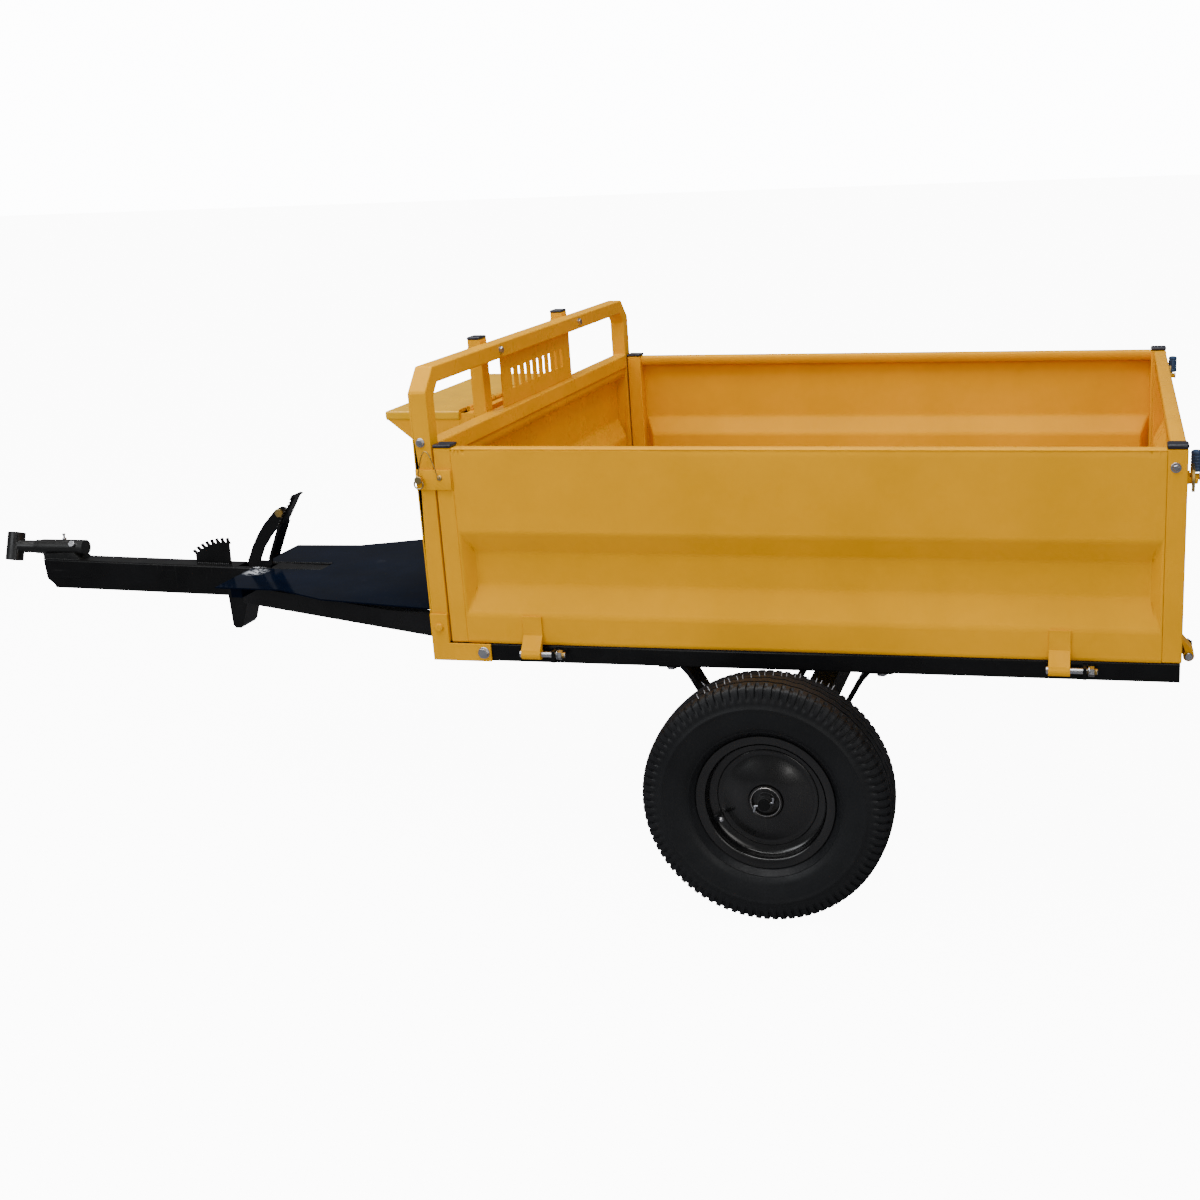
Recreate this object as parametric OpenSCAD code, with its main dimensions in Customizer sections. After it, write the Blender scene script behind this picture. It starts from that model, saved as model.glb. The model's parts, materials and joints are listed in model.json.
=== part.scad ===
// Tow-behind dropside cart: two pneumatic wheels, drawbar with swivelling hitch eye,
// seat box, foot brake, three fold-down sides. Millimetres. +X forward, +Y left, +Z up.
// Everything is drawn about the axle centre line at ground level, then moved so that the
// origin lies under the middle of the overall box.

/* [Cargo bed] */
// axle to the front face of the headboard
bed_front = 600; // [520:5:700]
// axle to the outer face of the tailgate
bed_rear = 657; // [560:1:760]
// half the width over the side panels
half_w = 562; // [500:2:640]
// height of the fold-down sides
side_h = 340; // [260:5:420]
// ground to the underside of the chassis rails
rail_z = 408; // [404:2:440]
// height of the chassis rails
rail_h = 32; // [30:1:40]
// top of the headboard frame above ground
head_top = 913; // [880:1:980]
// depth of the pressed recess in the panels
press_d = 22; // [10:1:24]
// sheet thickness of the panels
sheet_t = 2.5; // [2:0.5:3]

/* [Wheels] */
// tyre outside diameter
tyre_d = 420; // [400:2:424]
// tyre section width
tyre_w = 106; // [96:1:108]
// gap between the rail face and the tyre
tyre_gap = 8; // [6:1:20]
// spindle diameter under the bearings
spindle_d = 20; // [18:1:22]

/* [Drawbar] */
// axle to the front of the drawbar beam
nose_x = 1776; // [1700:2:1900]
// drawbar beam width
beam_w = 50; // [46:1:56]
// drawbar beam depth
beam_h = 66; // [62:1:72]
// sideways width of each A-frame arm
arm_w = 35; // [30:1:40]
// hitch pin hole diameter
king_d = 22; // [18:1:26]
// resting roll of the hitch eye about the drawbar
eye_roll = 22; // [0:1:30]

/* [Seat and brake] */
// width of the seat box
seat_w = 480; // [400:10:520]
// forward reach of the seat box from the headboard
seat_l = 206; // [170:2:240]
// seat height above ground
seat_z = 788; // [760:2:800]
// pedal pad width
pad_w = 40; // [34:1:44]

/* [Hidden] */

$fn = 48;
gap = 1;
rail_y = half_w - 40;
bed_z = rail_z + rail_h;
side_z = bed_z + gap;
side_top = side_z + side_h;
floor_half = half_w - 32;
stile_x = 31;
stile_y = 30;
tyre_r = tyre_d / 2;
axle_z = tyre_r;
wheel_y = half_w + tyre_gap + tyre_w / 2;
// fold-down hinges: outboard of the rail face and below the panel edge
hinge_out = 14;
hinge_drop = 12;
hinge_z = bed_z - hinge_drop;
hinge_r = 5;
strap_w = 34;
strap_xs = [bed_front - 186, -bed_rear + 188];
gate_ys = [half_w - 92, 92 - half_w];
// drawbar beam rises gently towards its nose
beam_slope = 0.02;
beam_tail = bed_front + 500;
foot_x = bed_front + 702;
pivot_x = bed_front + 658;
// top of the beam at a station x
function beam_z(x) = rail_z + 4.5 + beam_slope * (x - bed_front - 720);
pivot_z = beam_z(pivot_x) - 18.3;
pin_d = 16;
lever_l = 30;
// hitch swivel axis
swivel_z = beam_z(nose_x) + 22.4;
shank_d = 22;
eye_x = nose_x + 83;
eye_r = king_d / 2 + 7.5;
eye_l = 62;
// overall box, used to put the origin under its middle
x_max = eye_x + eye_r;
x_min = -(bed_rear + 23);
x_mid = (x_max + x_min) / 2;
// running clearance on every turning shaft, measured on the radius
run = 0.05;
cam_x = 62;
drum_ri = 76;
anchor_x = -62;
anchor_z = 10;
latch_y = half_w - 47;
latch_z = side_top - 51;
keeper_y = half_w - 15;
frame_x0 = bed_front - 32;
post_y = half_w - 32;
stake_y = 223;
mid_z1 = side_top + 5;
mid_z0 = mid_z1 - 30;
press_z = [side_top - 145, side_top - 184, side_z + 99, side_z + 50];
pin_x = bed_front - 8;
pin_z = side_z + 287;

module place() { translate([-x_mid, 0, 0]) children(); }
module both() { children(); mirror([0, 1, 0]) children(); }
// cylinder along Y from y0 to y1
module ycyl(x, y0, y1, z, r) {
  translate([x, y0, z]) rotate([-90, 0, 0]) cylinder(h = y1 - y0, r = r);
}
// cylinder along X from x0 to x1
module xcyl(x0, x1, y, z, r) {
  translate([x0, y, z]) rotate([0, 90, 0]) cylinder(h = x1 - x0, r = r);
}
module block(x0, x1, y0, y1, z0, z1) {
  translate([x0, y0, z0]) cube([x1 - x0, y1 - y0, z1 - z0]);
}
// outline in the X-Z plane, drawn out along Y from y0 to y1
module side_plate(y0, y1, pts) {
  translate([0, y1, 0]) rotate([90, 0, 0]) linear_extrude(y1 - y0) polygon(pts);
}
// outline in the Y-Z plane, drawn out along X from x0 to x1
module end_plate(x0, x1, pts) {
  translate([x0, 0, 0]) rotate([90, 0, 90]) linear_extrude(x1 - x0) polygon(pts);
}
// hexagon head along +Y
module hex_y(x, y, z, flats, h) {
  translate([x, y, z]) rotate([-90, 0, 0]) cylinder(h = h, r = flats / 1.732, $fn = 6);
}
module hex_x(x, y, z, flats, h) {
  translate([x, y, z]) rotate([0, 90, 0]) cylinder(h = h, r = flats / 1.732, $fn = 6);
}

// ---------- drawbar ----------
module beam_outline(t) {
  polygon([[beam_tail - (t > 0 ? 5 : 0), beam_z(beam_tail) - beam_h + t],
    [beam_tail - (t > 0 ? 5 : 0), beam_z(beam_tail) - t],
    [nose_x - t * 1.5, beam_z(nose_x) - t], [nose_x - 2 - t * 1.5, beam_z(nose_x) - 45],
    [nose_x - 19 - t, beam_z(nose_x) - 59], [nose_x - 20 - t * 1.5, beam_z(nose_x) - beam_h + t]]);
}
module drawbar_beam() color([0.07, 0.07, 0.08]) difference() {
  translate([0, beam_w / 2, 0]) rotate([90, 0, 0]) linear_extrude(beam_w) beam_outline(0);
  translate([0, beam_w / 2 - 4, 0]) rotate([90, 0, 0]) linear_extrude(beam_w - 8) beam_outline(4);
  ycyl(pivot_x, -beam_w, beam_w, pivot_z, pin_d / 2);
  // slot for the pedal foot and the pawl tip
  block(pivot_x - 36, pivot_x + 44, -16, 16, pivot_z + 8, pivot_z + 40);
}
arm_x0 = bed_front - 40;
arm_x1 = bed_front + 670;
arm_y1 = beam_w / 2;
arm_yaw = 23.97;
arm_h = 40;
arm_drop = 0.036;
arm_l = (arm_x1 - arm_x0) / cos(arm_yaw);
// inner face starts on the side of the beam and spreads backwards at arm_yaw
module arm_bar(t, over) {
  translate([arm_x1, arm_y1, 0]) rotate([0, 0, 180 - arm_yaw])
    translate([-over, -arm_w + t, 0]) multmatrix([[1, 0, 0, 0], [0, 1, 0, 0],
      [arm_drop * cos(arm_yaw), 0, 1, 0], [0, 0, 0, 1]])
      translate([0, 0, rail_z - arm_h - arm_drop * (arm_x1 - arm_x0 + over * cos(arm_yaw)) + t])
        cube([arm_l + over * 2, arm_w - 2 * t, arm_h - 2 * t]);
}
module drawbar_arm() color([0.07, 0.07, 0.08]) difference() {
  arm_bar(0, 60);
  arm_bar(3.5, 90);
  block(arm_x0 - 200, arm_x0, 0, 900, 0, 900);
  block(beam_tail, arm_x1 + 200, -100, beam_w / 2, 0, 900);
  block(arm_x1, arm_x1 + 200, -100, 200, 0, 900);
  block(bed_front - 41, bed_front + 2, 0, 900, rail_z, 900);
}
// straddles the beam, tapers to a rounded skid
module foot_outline(t) {
  zb = beam_z(foot_x) - beam_h;
  polygon([[foot_x + 24 - t, zb + 22], [foot_x + 24 - t, zb], [foot_x + 22 - t, zb - 64],
    [foot_x + 16, zb - 71 + t], [foot_x + 4, zb - 71 + t], [foot_x - 2 + t, zb - 64],
    [foot_x - 23 + t, zb], [foot_x - 23 + t, zb + 22]]);
}
module rest_foot() color([0.07, 0.07, 0.08]) difference() {
  translate([0, beam_w / 2 + 5, 0]) rotate([90, 0, 0]) linear_extrude(beam_w + 10) foot_outline(0);
  translate([0, beam_w / 2, 0]) rotate([90, 0, 0]) linear_extrude(beam_w) foot_outline(4);
  translate([0, beam_w / 2, 0]) rotate([90, 0, 0]) linear_extrude(beam_w)
    polygon([[foot_x - 60, beam_z(foot_x - 60) - beam_h], [foot_x + 60, beam_z(foot_x + 60) - beam_h],
      [foot_x + 60, rail_z + 40], [foot_x - 60, rail_z + 40]]);
}
module footplate() color([0.06, 0.07, 0.1]) difference() {
  union() {
    translate([0, 0, rail_z]) linear_extrude(3) polygon([[bed_front + 662, 172],
      [bed_front + 510, 179], [bed_front + 388, 238], [bed_front + 8, 300], [bed_front + 8, -300],
      [bed_front + 388, -238], [bed_front + 510, -179], [bed_front + 662, -172]]);
    // cross bearer under the front edge, and the gusset over the arms
    block(bed_front + 610, bed_front + 635, -160, 160, rail_z - 22.5, rail_z);
    block(bed_front + 8, bed_front + 14, -300, 300, rail_z - 0.5, rail_z + 10);
  }
  // clearance round the pedal and the beam
  block(beam_tail - 2, bed_front + 700, -28, 28, rail_z - 40, rail_z + 20);
}

// ---------- hitch ----------
module hitch_housing() color([0.09, 0.09, 0.1]) difference() {
  union() {
    xcyl(nose_x - 96, nose_x + 12, 0, swivel_z, 17);
    xcyl(nose_x + 12, nose_x + 27, 0, swivel_z, 15.5);
    side_plate(-20, 20, [[nose_x - 90, beam_z(nose_x - 90)], [nose_x, beam_z(nose_x)],
      [nose_x, swivel_z - 12], [nose_x - 76, swivel_z - 8]]);
  }
  xcyl(nose_x - 84, nose_x + 40, 0, swivel_z, shank_d / 2 + run);
  // hole for the retaining screw
  translate([nose_x - 74, 0, swivel_z]) rotate([-55, 0, 0]) cylinder(h = 60, r = 4);
  translate([nose_x - 45, 0, swivel_z]) cylinder(h = 40, r = 3);
}
module hitch_eye() color([0.12, 0.13, 0.13]) difference() {
  union() {
    xcyl(nose_x - 82, nose_x + 30, 0, swivel_z, shank_d / 2);
    xcyl(nose_x + 27.3, eye_x, 0, swivel_z, 14);
    translate([eye_x, 0, swivel_z]) rotate([eye_roll, 0, 0])
      translate([0, 0, -eye_l / 2]) cylinder(h = eye_l, r = eye_r);
  }
  translate([eye_x, 0, swivel_z]) rotate([eye_roll, 0, 0])
    translate([0, 0, -eye_l]) cylinder(h = 2 * eye_l, r = king_d / 2);
  // groove that the retaining screw runs in
  difference() {
    xcyl(nose_x - 78.5, nose_x - 69.5, 0, swivel_z, 20);
    xcyl(nose_x - 80, nose_x - 68, 0, swivel_z, 8.5);
  }
}
module hitch_fittings() color([0.75, 0.75, 0.78]) {
  translate([nose_x - 74, 0, swivel_z]) rotate([-55, 0, 0]) {
    translate([0, 0, 9]) cylinder(h = 12, r = 4);
    translate([0, 0, 17.4]) cylinder(h = 6, r = 7.5, $fn = 6);
  }
  // grease nipple
  translate([nose_x - 45, 0, swivel_z]) {
    translate([0, 0, 13]) cylinder(h = 8, r = 3);
    translate([0, 0, 17.2]) cylinder(h = 4, r = 5, $fn = 6);
    translate([0, 0, 21]) cylinder(h = 7, r = 2.2);
    translate([0, 0, 27]) cylinder(h = 4, r = 3.4);
  }
}

// ---------- brake ----------
quad_x = bed_front + 735;
quad_z = rail_z - 61;
function pol(r, a) = [quad_x + r * cos(a), quad_z + r * sin(a)];
module brake_quadrant() color([0.08, 0.08, 0.09]) {
  intersection() {
    translate([quad_x, 4, quad_z]) rotate([90, 0, 0]) cylinder(h = 8, r = 113);
    side_plate(-4, 4, [[quad_x - 7, beam_z(quad_x - 7)], [quad_x + 73, beam_z(quad_x + 73)],
      [quad_x + 73, rail_z + 80], [quad_x - 9, rail_z + 80]]);
  }
  for (i = [0:7]) let (a = 50.4 + i * 6.1) side_plate(-4, 4,
    [pol(111, a + 3.4), pol(111, a - 0.2), pol(123.4, a - 0.8), pol(123.4, a + 0.6), pol(117, a + 1)]);
}
bar_x = pivot_x - 110;
// strut from the pivot hub to the pad: flat bar seen edge-on from the side
module brake_pedal() color([0.08, 0.08, 0.09]) difference() {
  union() {
    difference() {
      side_plate(-pad_w / 2, pad_w / 2, [[pivot_x - 39, pivot_z + 36], [pivot_x - 34, pivot_z + 38],
        [pivot_x - 66, pivot_z + 112], [pivot_x - 107, pivot_z + 178], [pivot_x - 113, pivot_z + 176],
        [pivot_x - 71, pivot_z + 108]]);
      // rounded top corners of the pad
      both() translate([pivot_x - 140, pad_w / 2 - 8, pivot_z + 168]) rotate([0, 32, 0])
        difference() { translate([0, 0, -10]) cube([90, 20, 30]); }
    }
    // curved web on the near side, with its foot down to the hub
    difference() {
      side_plate(9, 15, [[pivot_x + 18, pivot_z - 4], [pivot_x + 18, pivot_z + 32],
        [pivot_x + 4, pivot_z + 62], [pivot_x - 13, pivot_z + 90], [pivot_x - 32, pivot_z + 115],
        [pivot_x - 62, pivot_z + 145], [pivot_x - 76, pivot_z + 152], [pivot_x - 88, pivot_z + 149],
        [pivot_x - 40, pivot_z + 60], [pivot_x - 38, pivot_z + 24], [pivot_x - 12, pivot_z - 4]]);
      side_plate(8, 16, [[pivot_x - 10, pivot_z + 32], [pivot_x - 24, pivot_z + 61],
        [pivot_x - 43, pivot_z + 86], [pivot_x - 66, pivot_z + 112], [pivot_x - 33, pivot_z + 38],
        [pivot_x - 31, pivot_z + 31]]);
    }
    ycyl(pivot_x, -20, 20, pivot_z, 13);
    // lower lever inside the beam
    side_plate(-4, 4, [[pivot_x - 9, pivot_z], [pivot_x - 8, pivot_z - lever_l - 4],
      [pivot_x + 8, pivot_z - lever_l - 4], [pivot_x + 9, pivot_z]]);
    ycyl(pivot_x, -10, 10, pivot_z - lever_l, 4);
  }
  ycyl(pivot_x, -30, 30, pivot_z, pin_d / 2 + run);
  // hole for the pawl bolt
  ycyl(pivot_x - 72, 5, 30, pivot_z + 139, 5);
}
module pedal_bolt() color([0.75, 0.7, 0.25]) {
  ycyl(pivot_x - 72, -5, 16, pivot_z + 139, 5);
  translate([0, -1, 0]) hex_y(pivot_x - 72, 16, pivot_z + 139, 17, 6);
  ycyl(pivot_x - 72, -8, -4, pivot_z + 139, 8);
}
// parking pawl, hangs on the same bolt behind the curved web
module pedal_pawl() color([0.1, 0.1, 0.11]) difference() {
  union() {
    ycyl(pivot_x - 72, -3, 3, pivot_z + 139, 8.5);
    side_plate(-3, 3, [[pivot_x - 64, pivot_z + 145], [pivot_x - 34, pivot_z + 114],
      [pivot_x - 8, pivot_z + 82], [pivot_x + 10, pivot_z + 50], [pivot_x + 27, pivot_z + 29],
      [pivot_x + 21, pivot_z + 27], [pivot_x + 2, pivot_z + 45], [pivot_x - 20, pivot_z + 78],
      [pivot_x - 44, pivot_z + 104], [pivot_x - 70, pivot_z + 130]]);
  }
  ycyl(pivot_x - 72, -10, 10, pivot_z + 139, 5 + run);
}
module pedal_pin() color([0.72, 0.72, 0.75]) {
  ycyl(pivot_x, -beam_w / 2 - 4, beam_w / 2 + 1, pivot_z, pin_d / 2);
  ycyl(pivot_x, beam_w / 2, beam_w / 2 + 4, pivot_z, 9);
  ycyl(pivot_x, -beam_w / 2 - 5, -beam_w / 2, pivot_z, 9);
}
// push rod from the pedal lever, through the beam, down to the cam shaft lever
rod_x1 = pivot_x - 2;
rod_z1 = pivot_z - lever_l;
cam_lever = 60;
rod_z0 = axle_z + cam_lever;
rod_len = sqrt(pow(rod_x1 - cam_x, 2) + pow(rod_z1 - rod_z0, 2));
rod_tilt = atan2(rod_z1 - rod_z0, rod_x1 - cam_x);
module rod_eye(x, z) {
  side_plate(5, 9, [[x - 24, z - 7], [x + 14, z - 8], [x + 14, z + 10], [x - 24, z + 7]]);
}
module brake_rod() color([0.5, 0.5, 0.52]) difference() {
  union() {
    translate([cam_x, 0, rod_z0]) rotate([0, 90 - rod_tilt, 0])
      translate([0, 0, 20]) cylinder(h = rod_len - 46, r = 3.5);
    rod_eye(pivot_x, rod_z1);
    rod_eye(cam_x, rod_z0);
    side_plate(-3, 9, [[pivot_x - 38, rod_z1 - 9], [pivot_x - 23, rod_z1 - 7],
      [pivot_x - 23, rod_z1 + 7], [pivot_x - 38, rod_z1 + 5]]);
    side_plate(-3, 9, [[cam_x + 14, rod_z0 - 7], [cam_x + 30, rod_z0 - 5],
      [cam_x + 30, rod_z0 + 7], [cam_x + 14, rod_z0 + 7]]);
  }
  // slots, taller than the pins, take up the arcs of both levers
  block(pivot_x - 4.6, pivot_x + 4.6, 0, 20, rod_z1 - 5, rod_z1 + 7.5);
  block(cam_x - 4.6, cam_x + 4.6, 0, 20, rod_z0 - 6, rod_z0 + 5);
}
module brake_camshaft() color([0.45, 0.45, 0.47]) {
  both() union() {
    ycyl(cam_x, -1, half_w + 8, axle_z, 7);
    block(cam_x - 8, cam_x + 8, half_w + 7, half_w + 30, axle_z - 5, axle_z + 5);
  }
  side_plate(-4, 4, [[cam_x - 11, axle_z], [cam_x - 7, rod_z0 + 6], [cam_x + 7, rod_z0 + 6],
    [cam_x + 11, axle_z]]);
  ycyl(cam_x, -4, 10, rod_z0, 4);
}
module backing_plates() color([0.12, 0.12, 0.12]) both() difference() {
  union() {
    ycyl(0, half_w - 6, half_w - 2, axle_z, 82);
    both_z() ycyl(anchor_x, half_w - 2, half_w + 30, axle_z + anchor_z, 4);
    ycyl(cam_x, half_w - 14, half_w - 2, axle_z, 12);
  }
  ycyl(0, half_w - 10, half_w, axle_z, 17.5);
  ycyl(cam_x, half_w - 20, half_w + 4, axle_z, 7 + run);
}
module both_z() {
  children();
  translate([0, 0, axle_z]) mirror([0, 0, 1]) translate([0, 0, -axle_z]) children();
}
// one brake shoe: lined arc hinged on its own anchor pin
module shoe() color([0.3, 0.27, 0.24]) difference() {
  union() {
    difference() {
      ycyl(0, half_w + 4, half_w + 30, axle_z, drum_ri - 2);
      ycyl(0, half_w, half_w + 40, axle_z, drum_ri - 14);
      block(-200, 200, half_w, half_w + 40, axle_z - 200, axle_z + 7);
    }
    ycyl(anchor_x, half_w + 4, half_w + 30, axle_z + anchor_z, 9);
  }
  ycyl(anchor_x, half_w, half_w + 40, axle_z + anchor_z, 4 + run);
}

// ---------- chassis ----------
module side_rails() color([0.06, 0.06, 0.07]) both() difference() {
  block(-bed_rear + 2, bed_front, rail_y, half_w, rail_z, bed_z);
  block(-bed_rear - 1, bed_front + 1, rail_y + 3, half_w - 3, rail_z + 3, bed_z - 3);
}
module cross_tube(x0, x1) difference() {
  block(x0, x1, -rail_y, rail_y, rail_z, bed_z);
  block(x0 + 3, x1 - 3, -rail_y - 1, rail_y + 1, rail_z + 3, bed_z - 3);
}
module cross_members() color([0.06, 0.06, 0.07]) {
  cross_tube(bed_front - 40, bed_front);
  cross_tube(bed_front - 260, bed_front - 220);
  cross_tube(-20, 20);
  cross_tube(-bed_rear + 240, -bed_rear + 280);
  cross_tube(-bed_rear + 2, -bed_rear + 42);
}
module floor_sheet() color([0.75, 0.52, 0.12])
  block(-bed_rear + 30, bed_front - 34, -floor_half, floor_half, bed_z, bed_z + 2);
beam_y = half_w - 6;
module axle_beam() color([0.06, 0.06, 0.07]) {
  difference() {
    block(-25, 25, -beam_y, beam_y, axle_z - 25, axle_z + 25);
    block(-20, 20, -beam_y + 30, beam_y - 30, axle_z - 20, axle_z + 20);
  }
  // stepped stub spindles, drilled for the split pins
  both() difference() {
    union() {
      ycyl(0, beam_y - 1, half_w + 24, axle_z, 17.5);
      ycyl(0, half_w + 20, wheel_y + 42, axle_z, spindle_d / 2);
    }
    nut_slot() translate([-20, 0, 0]) rotate([0, 90, 0]) cylinder(h = 40, r = 2);
  }
}
// bent flat bar from the rail down to the axle beam and up again
hang_t = 6;
module axle_hangers() color([0.06, 0.06, 0.07]) both() difference() {
  side_plate(half_w - 64, half_w - 14, [[200, rail_z], [200, rail_z - hang_t], [162, rail_z - hang_t],
    [150, rail_z - 20], [62, axle_z + 25], [-62, axle_z + 25], [-150, rail_z - 20],
    [-162, rail_z - hang_t], [-200, rail_z - hang_t], [-200, rail_z], [-156, rail_z],
    [-144, rail_z - 14], [-58, axle_z + 31], [58, axle_z + 31], [144, rail_z - 14], [156, rail_z]]);
  for (x = [-180, 180]) translate([x, half_w - 27, rail_z - 20]) cylinder(h = 30, r = 5);
}
// bolts: hanger feet, corner brackets, headboard bar, headboard post
module frame_bolts() color([0.78, 0.78, 0.8]) {
  both() for (x = [-180, 180]) {
    translate([x, half_w - 27, rail_z - hang_t - 6]) cylinder(h = 6, r = 9, $fn = 6);
    translate([x, half_w - 27, rail_z - hang_t - 1]) cylinder(h = hang_t + 0.8, r = 5);
  }
  both() {
    hex_y(bed_front - 94, half_w + 4, rail_z + 16, 16, 6);
    hex_y(bed_front - 16, half_w + 4, bed_z + 28, 12, 4);
    hex_y(bed_front - 14, half_w, side_top + 9, 12, 5);
    hex_x(frame_x0 - 5, stake_y, head_top - 14, 12, 5);
    hex_x(bed_front + 26, stake_y, head_top - 14, 12, 6);
  }
}
module nut_slot() translate([0, wheel_y + 36.5, axle_z]) rotate([0, 15, 0]) children();
module castle_nuts() both() {
  color([0.7, 0.68, 0.6]) difference() {
    union() {
      hex_y(0, wheel_y + 24, axle_z, 28, 9);
      ycyl(0, wheel_y + 32, wheel_y + 39, axle_z, 12.5);
    }
    ycyl(0, wheel_y, half_w + 120, axle_z, spindle_d / 2 + run);
    nut_slot() translate([-20, -2.1, -2.1]) cube([40, 10, 4.2]);
  }
  // split pin across the nut, one leg bent over
  color([0.75, 0.75, 0.78]) nut_slot() {
    translate([-16, 0, 0]) rotate([0, 90, 0]) cylinder(h = 34, r = 1.9, $fn = 24);
    translate([16, 0, 0]) rotate([0, 150, 0]) cylinder(h = 10, r = 1.9, $fn = 24);
    translate([-15, 0, 0]) rotate([0, -20, 0]) cylinder(h = 9, r = 1.9, $fn = 24);
  }
}

// ---------- headboard and seat ----------
module frame_prism(t) {
  ch = 38;
  end_plate(frame_x0 + t, bed_front - t, [[-half_w + t, bed_z + t], [-half_w + t, head_top - ch + t * 0.4],
    [-half_w + ch + t * 0.4, head_top - t], [half_w - ch - t * 0.4, head_top - t],
    [half_w - t, head_top - ch + t * 0.4], [half_w - t, bed_z + t]]);
}
module headboard_frame() color([0.8, 0.57, 0.12]) difference() {
  frame_prism(0);
  end_plate(0, 2 * bed_front, [[-post_y, bed_z - 10], [-post_y, mid_z0], [post_y, mid_z0],
    [post_y, bed_z - 10]]);
  end_plate(0, 2 * bed_front, [[-post_y, mid_z1], [-post_y, head_top - 50], [-post_y + 20, head_top - 29],
    [post_y - 20, head_top - 29], [post_y, head_top - 50], [post_y, mid_z1]]);
  // tube bores of the posts and rails
  both() block(frame_x0 + 3, bed_front - 3, post_y + 3, half_w - 3, bed_z - 5, head_top - 50);
  block(frame_x0 + 3, bed_front - 3, -post_y + 4, post_y - 4, mid_z0 + 3, mid_z1 - 3);
  block(frame_x0 + 3, bed_front - 3, -post_y + 24, post_y - 24, head_top - 26, head_top - 3);
  // slots that the two lock pins enter
  both() block(pin_x - 6, pin_x + 6, post_y + 10, half_w + 5, pin_z - 8, pin_z + 9);
}
// pressed panel: outline flat, recess sunk into its outer face. Drawn in a local frame:
// u along the panel, v inward from the outer face (negative), w up
module pressed(u0, u1, w0, w1, d) {
  difference() {
    union() {
      translate([u0, -sheet_t, w0]) cube([u1 - u0, sheet_t, w1 - w0]);
      recess(u0, u1, d + sheet_t, sheet_t, 0);
      // top edge folded inward and down
      translate([u0, -25, w1 - 2]) cube([u1 - u0, 25, 2]);
      translate([u0, -25, w1 - 20]) cube([u1 - u0, 2, 20]);
    }
    recess(u0, u1, d, 0, 1);
  }
}
module recess(u0, u1, d, grow, over) {
  a = press_z[0] + grow * 0.4;
  b = press_z[1] + grow;
  c = press_z[2] - grow;
  e = press_z[3] - grow * 0.4;
  k = 17;
  intersection() {
    translate([u0, 0, 0]) rotate([90, 0, 90]) linear_extrude(u1 - u0)
      polygon([[over, a], [0, a], [-d, b], [-d, c], [0, e], [over, e]]);
    translate([0, 0, side_z]) linear_extrude(side_h)
      polygon([[u0 + 2 - grow * 0.6, over], [u0 + 2 - grow * 0.6, 0], [u0 + 2 + k - grow * 0.6, -d],
        [u1 - 2 - k + grow * 0.6, -d], [u1 - 2 + grow * 0.6, 0], [u1 - 2 + grow * 0.6, over]]);
  }
}
module headboard_panel() color([0.8, 0.57, 0.12])
  translate([bed_front - 3, 0, 0]) rotate([0, 0, -90])
    pressed(-post_y, post_y, bed_z + 0.5, mid_z0, press_d);
module backrest_plate() color([0.8, 0.57, 0.12]) difference() {
  block(bed_front - 18, bed_front - 15, -193, 193, mid_z1, head_top - 29);
  for (i = [-4:4]) block(bed_front - 30, bed_front, i * 34 - 7, i * 34 + 7, mid_z1 + 30, head_top - 60);
}
module seat_stakes() color([0.8, 0.57, 0.12]) both() difference() {
  block(bed_front, bed_front + 26, stake_y - 16, stake_y + 16, seat_z - 170, head_top + 8);
  block(bed_front + 3, bed_front + 23, stake_y - 13, stake_y + 13, seat_z - 180, head_top + 20);
}
module stake_caps() color([0.17, 0.18, 0.22]) both() {
  block(bed_front - 1 + 1, bed_front + 27, stake_y - 17, stake_y + 17, head_top + 8, head_top + 13);
  block(bed_front + 3, bed_front + 23, stake_y - 13, stake_y + 13, head_top - 4, head_top + 9);
}
seat_x0 = bed_front + 26;
seat_x1 = bed_front + seat_l;
hinge_seat = seat_x0 + 22;
module seat_outline(t) {
  polygon([[seat_x0 + t, seat_z - 4], [seat_x1 - 3 - t, seat_z - 4], [seat_x1 - 3 - t, seat_z - 16 + t * 0.4],
    [seat_x0 + t, seat_z - 160 + t * 1.4]]);
}
module seat_box() color([0.8, 0.57, 0.12]) difference() {
  union() {
    difference() {
      translate([0, seat_w / 2 - 2, 0]) rotate([90, 0, 0]) linear_extrude(seat_w - 4) seat_outline(0);
      translate([0, 0, 10]) block(hinge_seat, seat_x1, -seat_w, seat_w, seat_z - 14, seat_z);
      difference() {
        translate([0, seat_w / 2 - 4, 0]) rotate([90, 0, 0]) linear_extrude(seat_w - 8) seat_outline(2);
        block(0, hinge_seat - 4, -seat_w, seat_w, seat_z - 6, seat_z);
      }
    }
    for (y = [-180, 0, 180]) ycyl(hinge_seat, y - 30, y + 30, seat_z, 5);
    for (y = [-180, 0, 180]) block(hinge_seat - 8, hinge_seat, y - 30, y + 30, seat_z - 5, seat_z);
  }
  ycyl(hinge_seat, -250, 250, seat_z, 2.5 + run);
}
module seat_lid() color([0.85, 0.65, 0.25]) difference() {
  union() {
    difference() {
      block(hinge_seat + 6, seat_x1, -seat_w / 2, seat_w / 2, seat_z - 17, seat_z);
      block(hinge_seat - 5, seat_x1 - 2, -seat_w / 2 + 1.6, seat_w / 2 - 1.6, seat_z - 30, seat_z - 2);
    }
    for (y = [-120, -60, 60, 120]) ycyl(hinge_seat, y - 29, y + 29, seat_z, 5);
    for (y = [-120, -60, 60, 120]) block(hinge_seat, hinge_seat + 8, y - 29, y + 29, seat_z - 2, seat_z);
    ycyl(hinge_seat, -210, 210, seat_z, 2.5);
  }
}
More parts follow.
